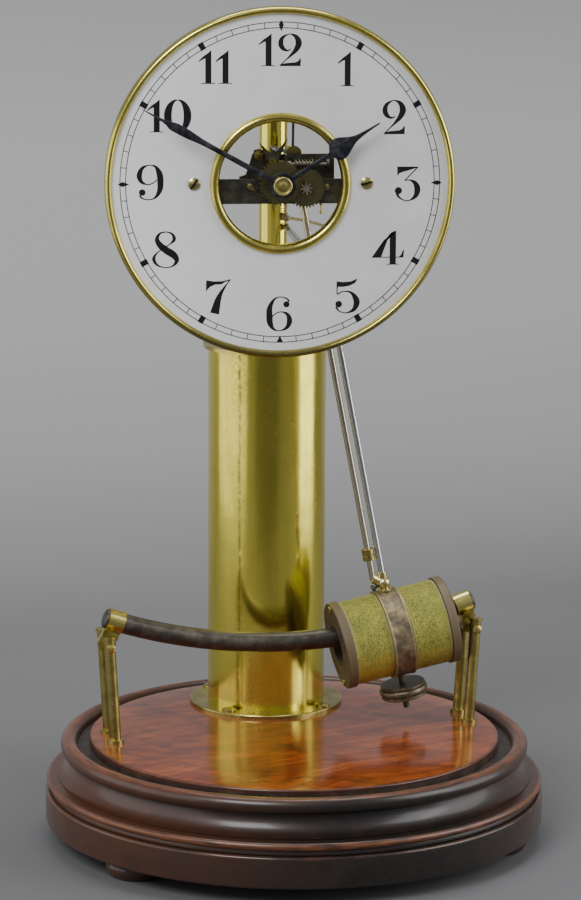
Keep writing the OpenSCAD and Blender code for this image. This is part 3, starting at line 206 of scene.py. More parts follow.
# Finishes
def polished_brass(name, centre, wear, bright=(0.90, 0.78, 0.12), dull=(0.54, 0.455, 0.08),
        gloss=0.15, seam=False, shade=0.0):
    """Lacquered brass with clouds of age, drawn marks along it and a few pits."""
    f = Finish(name)
    here = f.at(centre)
    clouds = f.noise(f.at(centre, stretch=(1, 1, 1.8)), 17, 5, 0.62, 0.7)
    drawn = f.noise(f.at(centre, stretch=(1, 1, 26)), 1.6, 3, 0.6)
    spots = f.noise(here, 2.2, 5, 0.72)
    age = f.level(clouds, 0.40, 0.66) * wear
    glow = f.level(f.noise(here, 26, 3, 0.5, 0.5), 0.50, 0.70)
    pits = f.level(spots, 0.60, 0.70) * f.level(clouds, 0.40, 0.62)
    tone = f.blend(age, bright, dull)
    tone = f.blend(glow * 0.5, tone, (0.95, 0.82, 0.16))
    tone = f.blend(pits * 0.75, tone, (0.14, 0.11, 0.03))
    tone = f.blend(f.level(drawn, 0.35, 0.75) * 0.3, tone, (0.58, 0.48, 0.10))
    if seam:
        # A dark line wanders down the tube, with a stain about it near the top
        across, deep, up = f.parts(here)
        seam_angle = 2.24
        wander = f.noise(f.at(centre, stretch=(1, 1, 3)), 8, 2) * 0.08
        near = abs(f.angle(deep, across) + seam_angle + wander)
        line = f.level(near, 0.035, 0.012) * f.level(f.noise(here, 3, 4, 0.75), 0.36, 0.56)
        flecks = f.level(f.noise(here, 1.6, 4, 0.75), 0.46, 0.62)
        stain = f.level(near, 0.26, 0.04) * f.level(up, 35, 74) * flecks
        tone = f.blend(line * 0.7 + stain * 0.6, tone, (0.20, 0.16, 0.035))
    if shade:
        # Painted shade: the lower rim is darkened, standing in for the dark surroundings it reflects
        tone = f.blend(f.level(f.parts(here)[2], -38, -68) * shade, tone, (0.17, 0.15, 0.055))
    rough = gloss + age * 0.16 + pits * 0.25 + f.level(drawn, 0.3, 0.8) * 0.05
    height = f.noise(here, 13, 3) * 0.5 + drawn * 0.05 - pits * 0.10
    return f.close(Base_Color=tone, Metallic=1.0, Roughness=rough, Normal=f.bump(height, 0.22, 0.6))


def worn_brass(name, bright=(0.50, 0.43, 0.14), dull=(0.21, 0.17, 0.05), gloss=0.22, size=7):
    """Tarnished brass fittings with darker hollows and rubbed spots."""
    f = Finish(name)
    here = f.at()
    clouds = f.noise(here, size, 5, 0.62, 0.4)
    grain = f.noise(here, 0.7, 3, 0.6)
    tone = f.blend(f.level(clouds, 0.36, 0.68), bright, dull)
    tone = f.blend(f.level(grain, 0.58, 0.72) * 0.5, tone, (0.10, 0.065, 0.025))
    rough = gloss + f.level(clouds, 0.3, 0.7) * 0.22
    return f.close(Base_Color=tone, Metallic=1.0, Roughness=rough,
        Normal=f.bump(grain * 0.4 + clouds, 0.07, 0.5))


def slotted_brass():
    """Bright brass of the dial's two screws, with painted shade in their slots."""
    f = Finish("slotted_brass")
    clouds = f.noise(f.at(), 3, 4, 0.6, 0.4)
    tone = f.blend(f.level(clouds, 0.36, 0.68), (0.66, 0.57, 0.24), (0.40, 0.33, 0.12))
    for side in (-1, 1):
        spot = HEAD @ Vector((side * DIAL_SCREW_X, 0, 0)) * 1000
        slot_angle = side * 20 - 35
        across, over, out = f.parts(f.at(spot, (90, slot_angle, DIAL_TURN)))
        # Painted shade: a near black stripe along each screw's slot
        slot = f.level(abs(over), 0.50, 0.36) * f.level(abs(across), 2.9, 2.4) * f.level(out, 0.2, 0.5)
        tone = f.blend(slot * 0.9, tone, (0.035, 0.028, 0.015))
    return f.close(Base_Color=tone, Metallic=1.0, Roughness=clouds * 0.2 + 0.14,
        Normal=f.bump(clouds, 0.05, 0.4))


def dark_metal(name, base, spot, gloss, metallic=0.85, size=3.0):
    """Blackened or blued steel with handling marks."""
    f = Finish(name)
    here = f.at()
    marks = f.noise(here, size, 5, 0.65, 0.3)
    scratches = f.noise(f.at(stretch=(9, 1, 1)), 0.5, 2, 0.5)
    tone = f.blend(f.level(marks, 0.45, 0.75), base, spot)
    rough = gloss + f.level(marks, 0.3, 0.7) * 0.18 + f.level(scratches, 0.6, 0.8) * 0.1
    return f.close(Base_Color=tone, Metallic=metallic, Roughness=rough,
        Normal=f.bump(marks * 0.6 + scratches * 0.3, 0.04, 0.5))


def bright_steel(name, bright=(0.66, 0.66, 0.65)):
    """Bare steel with a few rust marks."""
    f = Finish(name)
    rust = f.noise(f.at(), 5, 5, 0.7, 0.5)
    tone = f.blend(f.level(rust, 0.56, 0.74) * 0.8, bright, (0.20, 0.15, 0.09))
    rough = 0.13 + f.level(rust, 0.5, 0.7) * 0.25
    return f.close(Base_Color=tone, Metallic=1.0, Roughness=rough, Normal=f.bump(rust, 0.03, 0.3))


def silvered_dial():
    """Silvered brass with a fine worn grain and faint clouds, and painted light that makes it paler on its
    left.
    """
    f = Finish("silvered_dial")
    here = f.at(DIAL_AT, (0, 0, DIAL_TURN))
    clouds = f.noise(here, 26, 5, 0.6, 0.5)
    specks = f.noise(here, 0.9, 4, 0.7)
    drawn = f.noise(f.at(DIAL_AT, (0, 0, DIAL_TURN), (30, 1, 1.2)), 0.7, 2)
    tone = f.blend(f.level(clouds, 0.3, 0.7), (0.80, 0.80, 0.80), (0.66, 0.66, 0.67))
    tone = f.blend(f.level(specks, 0.62, 0.78) * 0.35, tone, (0.56, 0.56, 0.56))
    tone = f.blend(f.level(drawn, 0.35, 0.7) * 0.12, tone, (0.86, 0.86, 0.85))
    # Painted light: the dial is blended towards near white on its left
    across = f.parts(here)[0]
    tone = f.blend(f.level(across, 20, -75) * 0.85, tone, (0.98, 0.98, 0.98))
    rough = 0.46 + f.level(clouds, 0.3, 0.7) * 0.08
    return f.close(Base_Color=tone, Metallic=0.3, Roughness=rough,
        Normal=f.bump(specks * 0.5 + drawn * 0.5, 0.02, 0.6))


def dial_enamel():
    """Black wax of the numbers and the minute track."""
    f = Finish("dial_enamel")
    fill = f.noise(f.at(), 0.8, 3, 0.6)
    tone = f.blend(fill, (0.003, 0.0035, 0.005), (0.010, 0.011, 0.013))
    return f.close(Base_Color=tone, Roughness=0.5 + fill * 0.2, Specular_IOR_Level=0.22,
        Normal=f.bump(fill, 0.02, 0.5))


def polished_wood(name, light, mid, dark, top):
    """Turned, stained and polished wood; the top has a bare disc, a rim, a groove and a bead."""
    f = Finish(name)
    grain = (0, 0, 24)
    here = f.at(angles=grain)
    bent = f.noise(here, 70, 2, 0.5)
    x, y, z = f.parts(here)
    across = y + bent * 34 + z * 0.6
    rings = f.noise(f.vector(x * 0.035, across, z * 0.3), 5.5, 5, 0.62)
    pores = f.noise(f.at(angles=grain, stretch=(16, 1, 3)), 0.55, 3, 0.6)
    flame = f.noise(f.at(angles=(0, 0, 64), stretch=(1, 1.8, 1)), 15, 4, 0.6, 1.2)
    figure = f.level(rings, 0.18, 0.86)
    tone = f.ramp(figure, (0.0, light), (0.5, mid), (1.0, dark))
    tone = f.blend(f.level(flame, 0.46, 0.66) * 0.75, tone, dark)
    tone = f.blend(f.level(flame, 0.42, 0.28) * 0.5, tone, light)
    tone = f.blend(f.level(pores, 0.58, 0.70) * 0.7, tone, (0.035, 0.010, 0.006))
    px, py, height = f.parts(f.at())
    reach = f.radius(px, py)
    if top:
        # Outside the disc the stain is dark; painted light reddens the sides, and the rim and bead get rubbed
        # wear and painted highlight
        outside = f.level(reach, 84.6, 86.6)
        smudge = f.noise(f.at(), 9, 4, 0.6)
        streak = f.noise(f.vector(f.angle(px, py) * 9, reach * 0.9, height * 0.8), 1.0, 4, 0.6)
        # Painted light: the sides, the left most, are blended towards a lighter red brown; random smudges of
        # stain add to it
        sides = f.level(px, -10, -95) * 0.75 + f.level(px, 45, 105) * 0.5
        side_light_and_stain = sides + f.level(smudge, 0.5, 0.8) * 0.3
        stain = f.blend(side_light_and_stain, (0.012, 0.009, 0.007), (0.085, 0.030, 0.014))
        rim = f.level(reach, 92.4, 94.4) * f.level(reach, 98.4, 96.6) * f.level(height, 41.2, 42.6)
        bead = f.level(reach, 103.2, 104.2) * f.level(height, 22.6, 23.6) * f.level(height, 27.4, 26.4)
        # Partly rubbed wear and partly painted highlight: lighter red brown streaks along the top of the rim
        # and the bead
        rubbed = (rim * 0.75 + bead * 0.8) * f.level(streak, 0.34, 0.62)
        tone = f.blend(outside, tone, stain)
        tone = f.blend(rubbed, tone, (0.20, 0.068, 0.026))
        groove = f.level(reach, 85.0, 86.0) * f.level(reach, 91.7, 90.9) * f.level(height, 42.8, 41.0)
        dust = f.blend(f.level(smudge, 0.45, 0.75), (0.012, 0.008, 0.006), (0.06, 0.04, 0.025))
        tone = f.blend(groove * 0.9, tone, dust)
        rough = 0.15 + f.level(pores, 0.5, 0.75) * 0.08 + outside * 0.19 + groove * 0.3
    else:
        # Painted light: the plinth is a lighter red brown towards its sides, most on the left
        sides = f.level(px, 0, -100) * 0.8 + f.level(px, 50, 105) * 0.5
        tone = f.blend(sides * f.level(flame, 0.25, 0.6, 0.45, 1.0), tone, (0.085, 0.034, 0.018))
        edge = f.level(reach, 103.9, 104.9) * f.level(height, 19.8, 21.2)
        tone = f.blend(edge * 0.5 * f.level(flame, 0.4, 0.65), tone, (0.20, 0.07, 0.03))
        rough = 0.24 + f.level(pores, 0.5, 0.75) * 0.12
    relief = pores * -0.5 + f.noise(f.at(), 30, 2) * 1.2
    return f.close(Base_Color=tone, Roughness=rough, Coat_Weight=0.2, Coat_Roughness=0.12,
        Specular_IOR_Level=0.4, Normal=f.bump(relief, 0.06, 0.5))


def wound_silk():
    """Silk covered wire: each turn keeps its own shade, streaked round the coil."""
    f = Finish("wound_silk")
    here = f.at(COIL_AT, (0, 90 + SWING_REST, 0))
    x, y, z = f.parts(here)
    round_it = f.angle(x, y)
    turns = f.noise(f.vector(round_it * 1.1, z * 1.6), 1.0, 4, 0.7)
    patches = f.noise(here, 9, 4, 0.6, 0.5)
    fibre = f.noise(f.vector(round_it * 34, z * 9, f.radius(x, y)), 1.0, 3, 0.7)
    grain = f.noise(here, 0.75, 3, 0.7)
    height = f.parts(f.at())[2]
    tone = f.ramp(turns, (0.30, (0.21, 0.205, 0.026)), (0.52, (0.30, 0.285, 0.036)),
        (0.74, (0.39, 0.355, 0.052)))
    tone = f.blend(f.level(patches, 0.40, 0.60) * 0.75, tone, (0.165, 0.19, 0.024))
    tone = f.blend(f.level(grain, 0.40, 0.68) * 0.5, tone, (0.50, 0.46, 0.11))
    tone = f.blend(f.level(grain, 0.52, 0.34) * 0.7, tone, (0.085, 0.09, 0.012))
    # The silk is ochre along the coil's underside and paler beside the cheeks and the strap
    tone = f.blend(f.level(height, 80, 66) * f.level(patches, 0.75, 0.35), tone, (0.50, 0.29, 0.012))
    ends = f.level(abs(z), 19.6, 21) + f.level(abs(z), 6.0, 4.8)
    tone = f.blend(ends * 0.45, tone, (0.48, 0.46, 0.26))
    return f.close(Base_Color=tone, Roughness=0.62 + fibre * 0.2, Sheen_Weight=0.08, Sheen_Roughness=0.4,
        Normal=f.bump(fibre, 0.05, 0.7))


def pressed_fibre():
    """Dark brown fibre of the coil's cheeks, in thin layers with a paler turned edge."""
    f = Finish("pressed_fibre")
    here = f.at(COIL_AT, (0, 90 + SWING_REST, 0))
    x, y, z = f.parts(here)
    reach = f.radius(x, y)
    clouds = f.noise(here, 5, 5, 0.65, 0.4)
    layers = f.noise(f.vector(reach * 3.4, z * 4), 1.0, 3, 0.6)
    tone = f.blend(f.level(clouds, 0.35, 0.7), (0.058, 0.043, 0.024), (0.026, 0.019, 0.011))
    tone = f.blend(f.level(layers, 0.4, 0.7) * 0.4, tone, (0.095, 0.070, 0.044))
    edge = f.level(reach, 18.0, 18.7) * f.level(layers, 0.35, 0.6, 0.35, 1.0)
    tone = f.blend(edge * 0.6, tone, (0.20, 0.145, 0.07))
    return f.close(Base_Color=tone, Roughness=0.42 + clouds * 0.2,
        Normal=f.bump(layers + clouds, 0.06, 0.6))


def stained_strap():
    """Brass band round the middle of the coil, stained, with brighter edges."""
    f = Finish("stained_strap")
    here = f.at(COIL_AT, (0, 90 + SWING_REST, 0))
    along = f.parts(here)[2]
    clouds = f.noise(here, 5, 5, 0.65, 0.15)
    tone = f.ramp(clouds, (0.32, (0.075, 0.066, 0.045)), (0.52, (0.19, 0.155, 0.095)),
        (0.72, (0.38, 0.31, 0.17)))
    lips = f.level(abs(along), 3.75, 4.05)
    tone = f.blend(lips * 0.6, tone, (0.44, 0.36, 0.16))
    return f.close(Base_Color=tone, Metallic=0.75, Roughness=0.36 + clouds * 0.25,
        Normal=f.bump(clouds, 0.05, 0.5))


def cotton_braid():
    """Braided cotton on the lead: crossed threads with some dirt."""
    f = Finish("cotton_braid")
    here = f.at()
    x, y, z = f.parts(here)
    weave = f.sine((x + y + z) * 4.2) * f.sine((x - y + z) * 4.2)
    soil = f.noise(here, 3, 4, 0.6)
    tone = f.blend(f.level(weave, -0.6, 0.8), (0.60, 0.50, 0.19), (0.88, 0.78, 0.40))
    tone = f.blend(f.level(soil, 0.5, 0.75) * 0.6, tone, (0.26, 0.20, 0.08))
    return f.close(Base_Color=tone, Roughness=0.85, Sheen_Weight=0.3, Normal=f.bump(weave, 0.12, 0.8))


def plain(name, colour, other, rough, metallic=0.0, size=2.0):
    """Two tones in small clouds, for pieces without a pattern of their own."""
    f = Finish(name)
    marks = f.noise(f.at(), size, 4, 0.6, 0.3)
    return f.close(Base_Color=f.blend(f.level(marks, 0.35, 0.7), colour, other), Metallic=metallic,
        Roughness=rough + marks * 0.15, Normal=f.bump(marks, 0.04, 0.5))


MAHOGANY = polished_wood("mahogany_top", (0.38, 0.092, 0.014), (0.195, 0.038, 0.008),
    (0.068, 0.012, 0.005), True)
DARK_WOOD = polished_wood("dark_wood", (0.021, 0.015, 0.012), (0.014, 0.0115, 0.0095),
    (0.008, 0.0066, 0.006), False)
COLUMN_BRASS = polished_brass("column_brass", (0, COLUMN_Y, 120), 0.45, seam=True)
UPPER_BRASS = polished_brass("upper_brass", (0, UPPER_Y, 260), 0.15, (0.95, 0.84, 0.14), gloss=0.08)
FLANGE_BRASS = polished_brass("flange_brass", (0, COLUMN_Y, 45), 0.9, (0.42, 0.36, 0.12),
    (0.26, 0.21, 0.06), 0.18)
# The bezel carries painted shade along its lower rim
BEZEL_BRASS = polished_brass("bezel_brass", DIAL_AT, 0.8, (0.66, 0.58, 0.15), (0.38, 0.32, 0.07),
    shade=0.75)
FITTING_BRASS = worn_brass("fitting_brass")
WHEEL_BRASS = worn_brass("wheel_brass", (0.20, 0.18, 0.085), (0.095, 0.088, 0.046), 0.30, 3)
NUT_BRASS = worn_brass("nut_brass", (0.74, 0.64, 0.22), (0.44, 0.36, 0.10), 0.16, 5)
BLACK_STEEL = dark_metal("black_steel", (0.060, 0.058, 0.042), (0.125, 0.118, 0.082), 0.38)
BLUED_STEEL = dark_metal("blued_steel", (0.042, 0.044, 0.056), (0.14, 0.14, 0.155), 0.24, 0.9, 4)
MAGNET_IRON = dark_metal("magnet_iron", (0.082, 0.075, 0.062), (0.155, 0.138, 0.108), 0.30, 0.85, 5)
NUT_BRONZE = dark_metal("nut_bronze", (0.115, 0.098, 0.066), (0.25, 0.21, 0.13), 0.34, 0.85, 2.5)
STEEL = bright_steel("bright_steel")
# Steel tinted warm with a painted reflection of the brass column, for the left rod
PAINTED_REFLECTION_STEEL = bright_steel("steel_with_painted_reflection", (0.66, 0.59, 0.45))
PINION_STEEL = bright_steel("pinion_steel", (0.75, 0.72, 0.60))
SLOTTED_BRASS = slotted_brass()
BALL_BRASS = worn_brass("ball_brass", (0.70, 0.62, 0.32), (0.40, 0.34, 0.14), 0.15, 4)
SCREW_BRASS = worn_brass("screw_brass", (0.52, 0.45, 0.21), (0.22, 0.185, 0.08), 0.24, 2)
DULL_STEEL = dark_metal("dull_steel", (0.17, 0.155, 0.115), (0.07, 0.06, 0.04), 0.32, 0.95, 1.5)
DIAL_SILVER = silvered_dial()
DIAL_BLACK = dial_enamel()
SILK = wound_silk()
FIBRE = pressed_fibre()
STRAP = stained_strap()
BRAID = cotton_braid()
GREY_WIRE = dark_metal("grey_wire", (0.52, 0.51, 0.49), (0.28, 0.26, 0.22), 0.26, 0.9, 1.2)
SILVER = plain("silver_contact", (0.66, 0.65, 0.62), (0.45, 0.42, 0.36), 0.22, 1.0)
BLACK_FIBRE = plain("insulator_fibre", (0.035, 0.025, 0.020), (0.075, 0.05, 0.035), 0.5)
TAN_FIBRE = plain("tan_fibre", (0.22, 0.155, 0.06), (0.36, 0.27, 0.11), 0.5)
CAN = plain("battery_can", (0.16, 0.19, 0.21), (0.24, 0.26, 0.27), 0.4, 0.6, 9)

# The finish of each material slot, and then the nodes that have a finish of their own
SLOTS = {"aged_brass": FITTING_BRASS, "movement_brass": WHEEL_BRASS, "dark_steel": BLACK_STEEL,
    "bright_steel": STEEL, "blued_steel": BLUED_STEEL, "magnet_iron": MAGNET_IRON, "fibre": FIBRE,
    "silk": SILK, "strap_metal": STRAP, "silvered_dial": DIAL_SILVER, "bezel_brass": BEZEL_BRASS,
    "battery_case": CAN, "insulator": BLACK_FIBRE, "braid": BRAID, "spring_wire": GREY_WIRE,
    "nut_bronze": NUT_BRONZE, "silver_contact": SILVER, "polished_brass": COLUMN_BRASS,
    "mahogany": MAHOGANY, "dark_wood": DARK_WOOD}
for entry in frame["record"]["subparts"]:
    shown = nodes[entry["node"]]
    shown.data.materials.clear()
    shown.data.materials.append(SLOTS[entry["material_slot"]])
# The left rod's steel carries a painted warm reflection
OWN_FINISH = {"upper_column": UPPER_BRASS, "column_flange": FLANGE_BRASS, "column_lid": FLANGE_BRASS,
    "dial_fixings": SLOTTED_BRASS, "magnet_clamps": NUT_BRASS, "cross_screws": NUT_BRASS,
    "cheek_screws": NUT_BRASS, "ratchet_shaft": DULL_STEEL, "fork_cock": FITTING_BRASS,
    "bracket_screws": SCREW_BRASS, "left_rod": PAINTED_REFLECTION_STEEL, "rod_ball": BALL_BRASS,
    "barrel_nut": FITTING_BRASS, "lead_bushing": TAN_FIBRE, "centre_arbor": NUT_BRASS}
for name, finish in OWN_FINISH.items():
    nodes[name].data.materials[0] = finish


# Making pieces
def piece(name, bm, place, body, finish, replaces=(), outward=True):
    """Puts a modelled shape in its place as an object that rides on a body, creased past 35 degrees."""
    bm.transform(place)
    if outward:
        bmesh.ops.recalc_face_normals(bm, faces=bm.faces)
    mesh = bpy.data.meshes.new(name)
    bm.to_mesh(mesh)
    bm.free()
    for face in mesh.polygons:
        face.use_smooth = True
    mesh.set_sharp_from_angle(angle=math.radians(35))
    obj = bpy.data.objects.new(name, mesh)
    bpy.context.scene.collection.objects.link(obj)
    mesh.materials.append(finish)
    if body:
        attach(obj, body)
    if replaces:
        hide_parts(*replaces)
    return obj


def bow(x, z, rx, rz, start, end, steps):
    """Points along part of an ellipse."""
    angles = [math.radians(start + (end - start) * i / steps) for i in range(steps + 1)]
    return [(x + rx * math.cos(a), z + rz * math.sin(a)) for a in angles]


def turned(profile, steps, closed=False):
    """A lathe shape about Z from (radius, height) points."""
    bm = bmesh.new()
    corners = [bm.verts.new((max(r, 0), 0, z)) for r, z in profile]
    rims = [bm.edges.new(pair) for pair in zip(corners, corners[1:])]
    if closed:
        rims.append(bm.edges.new((corners[-1], corners[0])))
    bmesh.ops.spin(bm, geom=corners + rims, cent=(0, 0, 0), axis=(0, 0, 1), angle=2 * math.pi,
        steps=steps, use_merge=True)
    bmesh.ops.remove_doubles(bm, verts=bm.verts, dist=1e-4)
    return bm


def wire(points, radius, sides):
    """A round wire through points, closed at both ends."""
    curve = bpy.data.curves.new("wire", "CURVE")
    curve.dimensions = "3D"
    line = curve.splines.new("POLY")
    line.points.add(len(points) - 1)
    for point, at in zip(line.points, points):
        point.co = (*at, 1)
    curve.bevel_depth = radius
    curve.bevel_resolution = max(0, sides // 2 - 2)
    curve.use_fill_caps = True
    holder = bpy.data.objects.new("wire", curve)
    bpy.context.scene.collection.objects.link(holder)
    mesh = bpy.data.meshes.new_from_object(holder.evaluated_get(bpy.context.evaluated_depsgraph_get()))
    bpy.data.objects.remove(holder)
    bpy.data.curves.remove(curve)
    bm = bmesh.new()
    bm.from_mesh(mesh)
    bpy.data.meshes.remove(mesh)
    bmesh.ops.remove_doubles(bm, verts=bm.verts, dist=1e-5)
    return bm


def smooth_route(points, steps):
    """More points along a route, on a curve through all of them."""
    route = []
    for i in range(len(points) - 1):
        a, b, c, d = (Vector(points[min(max(k, 0), len(points) - 1)]) for k in range(i - 1, i + 3))
        for s in range(steps):
            t = s / steps
            route.append(0.5 * ((2 * b) + (c - a) * t + (2 * a - 5 * b + 4 * c - d) * t * t
                + (3 * b - a - 3 * c + d) * t ** 3))
    return route + [Vector(points[-1])]


def curl(radius, length, turns, steps, straight):
    """Points of a helix on Z with a short straight run at each end."""
    n = turns * steps
    body = [(radius * math.cos(2 * math.pi * i / steps), radius * math.sin(2 * math.pi * i / steps),
        straight + (length - 2 * straight) * i / n) for i in range(n + 1)]
    return [(radius, 0, 0)] + body + [(radius, 0, length)]


def merge(bm, other):
    """Adds another shape to this one and uses it up."""
    mesh = bpy.data.meshes.new("joined")
    other.to_mesh(mesh)
    other.free()
    bm.from_mesh(mesh)
    bpy.data.meshes.remove(mesh)


def only(kind, made):
    """The vertices or edges among what an operator made."""
    return [item for item in made["geom"] if isinstance(item, kind)]


def thicken(bm, faces, push):
    """Extrudes faces and moves the new ones."""
    grown = bmesh.ops.extrude_face_region(bm, geom=faces)
    bmesh.ops.translate(bm, verts=only(bmesh.types.BMVert, grown), vec=push)


def slab(outline, thickness, bevel):
    """A flat plate cut to an outline in X and Z, its front at y = 0, with a bevelled front edge."""
    bm = bmesh.new()
    face = bm.faces.new([bm.verts.new((x, 0, z)) for x, z in outline])
    thicken(bm, [face], (0, thickness, 0))
    front = [e for e in bm.edges if all(abs(v.co.y) < 1e-6 for v in e.verts)]
    bmesh.ops.bevel(bm, geom=front, offset=bevel, segments=2, profile=0.5, affect="EDGES", material=-1)
    return bm


# Base
def make_base():
    """The moulding and the plinth, each turned from a profile."""
    seat, groove_floor, disc = 21.5, 38.9, 43.4
    fillet = [(0, seat), (102.6, seat), (103.1, 21.7), (103.1, 23.2), (103.0, 23.35)]
    bead = bow(102.75, 25.05, 1.75, 1.75, -75, 90, 14) + [(101.2, 26.85), (99.5, 27.0)]
    cove = bow(100.0, 36.2, 6.8, 8.8, 268, 184, 18)
    rim = bow(95.0, 39.5, 3.5, 3.5, -100, 176, 30)
    groove = (bow(91.9, 39.4, 0.5, 0.5, 180, 262, 4) + [(90.5, groove_floor), (87.2, groove_floor)]
        + bow(86.7, 39.4, 0.5, 0.5, 270, 180, 4))
    top = bow(85.4, 42.6, 0.8, 0.8, 0, 90, 6) + [(60, disc), (30, disc), (0, disc)]
    piece("base_moulding_turned", turned(fillet + bead + cove + rim + groove + top, steps=288), TABLE,
        "clock", MAHOGANY, ["base_moulding"])
    foot, plinth_top, corner, out = 8, 21.4, 1.1, 103.9
    plinth = ([(0, foot), (60, foot)] + bow(out, 9.1, corner, corner, -90, 0, 6)
        + bow(out, 20.2, corner, corner, 0, 90, 6) + [(60, plinth_top), (0, plinth_top)])
    piece("base_plinth_turned", turned(plinth, steps=288), TABLE, "clock", DARK_WOOD,
        ["base_plinth"])


# Column
def make_column():
    """The drawn tube that holds the battery."""
    inside, outside, low, high = 24.1, 25.3, 45, 200
    tube = [(inside, low), (outside, low), (outside, 80), (outside, 120), (outside, 160), (outside, high),
        (inside, high)]
    piece("column_drawn", turned(tube, closed=True, steps=256), COLUMN, "clock", COLUMN_BRASS,
        ["column_tube"])


# Dial
def ribbon(bm, path, lift):
    """A painted stroke through points of (x, z, width), smoothed and swept as one strip."""
    fine = smooth_route(path, 7)
    ends = []
    for i, p in enumerate(fine):
        along = fine[min(i + 1, len(fine) - 1)] - fine[max(i - 1, 0)]
        side = Vector((-along.y, 0, along.x)).normalized() * max(1.12 * p.z, 3.2) / 2
        middle = Vector((p.x, -lift, p.y))
        ends.append((middle + side, middle - side))
    last = ends[0][0]
    edge = bm.edges.new([bm.verts.new(v) for v in ends[0]])
    for left, right in ends[1:]:
        edge = only(bmesh.types.BMEdge, bmesh.ops.extrude_edge_only(bm, edges=[edge]))[0]
        near, far = sorted(edge.verts, key=lambda vertex: (vertex.co - last).length)
        near.co = last = left
        far.co = right


def patch(bm, outline, lift):
    """A flat painted shape."""
    bm.faces.new([bm.verts.new((x, -lift, z)) for x, z in outline])


def ball(bm, x, z, r, lift):
    """The round blot that ends a stroke."""
    bmesh.ops.create_circle(bm, cap_ends=True, segments=28, radius=r,
        matrix=shift(x, -lift, z) @ turn(90, "X"))


# Numbers are drawn in hundredths of their height, about their own middle; lifts keep crossing strokes apart
def draw_one(bm):
    patch(bm, [(9, -47.5), (9, 50), (7, 50), (0, 43), (-14, 33), (-29, 18), (-27.5, 15.5), (-16, 23),
        (-8.5, 26.5), (-8.5, -47.5)], 3)
    patch(bm, [(20.5, -50), (20.5, -48.2), (13, -47.3), (-13, -47.3), (-21, -48.2), (-21, -50)], 3.2)


def draw_two(bm):
    ribbon(bm, [(5, 2.5, 2), (-6, -2, 5), (-19, 5, 11), (-25.5, 20, 13.5), (-20, 38, 9), (0, 49.2, 2.4),
        (19, 41, 11), (27, 22, 16.5), (20, 2, 13), (4, -17, 6.5), (-12, -33, 2.6), (-27, -48, 2)], 3)
    patch(bm, [(-29.5, -50), (33, -50), (33.5, -26), (31, -26), (26, -34), (17, -38.5), (4, -39.5),
        (-12, -41), (-25, -45)], 3.3)


def draw_three(bm):
    patch(bm, [(-31, 50), (31, 50), (31, 47.5), (16, 43), (0, 38), (-16, 34), (-25, 30), (-29, 24),
        (-31, 24)], 3.1)
    ribbon(bm, [(30, 49, 2), (10, 28, 2), (-8, 9, 2)], 3.3)
    ribbon(bm, [(-9, 9, 2), (8, 9.5, 4), (23, 0, 12), (29, -18, 16), (23, -38, 11), (4, -50.5, 2.5),
        (-14, -48, 3), (-27, -38, 6), (-32, -26, 7)], 3)
    ball(bm, -27, -21, 10.6, 3.4)


def draw_four(bm):
    patch(bm, [(23, 50), (12, 42), (-12, 24), (-46, -25), (-49, -28), (-20, -26.5), (5, 42)], 3.1)
    patch(bm, [(5, -48), (5, 43), (17, 50), (23.5, 51), (23.5, -48)], 3)
    patch(bm, [(-49, -28.8), (46, -28.8), (46, -26.3), (-48, -26.3)], 3.2)
    patch(bm, [(30, -27.5), (38, -22), (43, -10), (45.5, -6), (47.5, -6), (46, -28.8)], 3.3)
    patch(bm, [(-4, -49.8), (32, -49.8), (32, -48), (26, -47), (3, -47), (-4, -48)], 3.4)


def draw_five(bm):
    patch(bm, [(-27, 43), (-10, 41), (14, 43), (32, 51), (33, 50), (26, 38), (10, 30), (-10, 26.5), (-24, 27),
        (-26, 21), (-28, 21)], 3.1)
    ribbon(bm, [(-27, 43, 2), (-27.2, 24, 2), (-27, 4, 2)], 3.2)
    ribbon(bm, [(-26, 4, 2), (-9, 13, 2.6), (13, 10, 6), (27, -6, 14), (31, -22, 16), (22, -42, 10),
        (0, -51, 2.6), (-20, -46, 3), (-30, -33, 6)], 3)
    ball(bm, -22, -25, 9.8, 3.4)


def draw_six(bm):
    ribbon(bm, [(27, 36, 5), (20, 45, 4), (0, 50, 2.4), (-18, 42, 6), (-30, 18, 13.5), (-31, -6, 16.5),
        (-29, -28, 15), (-18, -46, 6.5), (0, -50.8, 2.4), (20, -42, 9), (28.5, -22, 14), (22, -2, 9),
        (4, 5.5, 2.4), (-12, 1, 2.2), (-22, -8, 2)], 3)
    ball(bm, 19, 28, 9.2, 3.4)


def draw_seven(bm):
    patch(bm, [(-35, 50), (-12, 46.5), (12, 46.8), (38, 53), (37, 49.5), (22, 45), (10, 37.5), (-8, 37),
        (-24, 30), (-33, 20), (-35, 15), (-35.5, 15)], 3.1)
    ribbon(bm, [(36, 51.5, 2), (23, 34, 4), (10, 14, 9), (1, -6, 15), (-5, -28, 20), (-10, -49.5, 24)], 3)


def draw_eight(bm):
    ribbon(bm, [(2, 51, 2.4), (-16, 46, 5.5), (-24.5, 29, 11), (-15, 11, 16), (3, -4, 19), (24, -18, 18),
        (33, -34, 12), (22, -50, 4.5), (-1, -55, 2.4), (-24, -47, 5.5), (-34, -30, 9), (-26, -13, 4),
        (-8, 1, 2.4), (14, 15, 3.4), (26, 29, 9), (19, 45, 5.5), (2, 51, 2.4)], 3)


def draw_nine(bm):
    ribbon(bm, [(-28, -37, 5), (-20, -46, 4), (0, -50.4, 2.4), (19, -43, 6), (31, -22, 13.5), (33, 4, 16.5),
        (29.5, 28, 15), (18, 47, 6.5), (0, 51, 2.4), (-20, 42, 9), (-28.5, 21, 14), (-22, 2, 9),
        (-4, -5.5, 2.4), (12, -1, 2.2), (22, 8, 2)], 3)
    ball(bm, -20, -29, 9.6, 3.4)


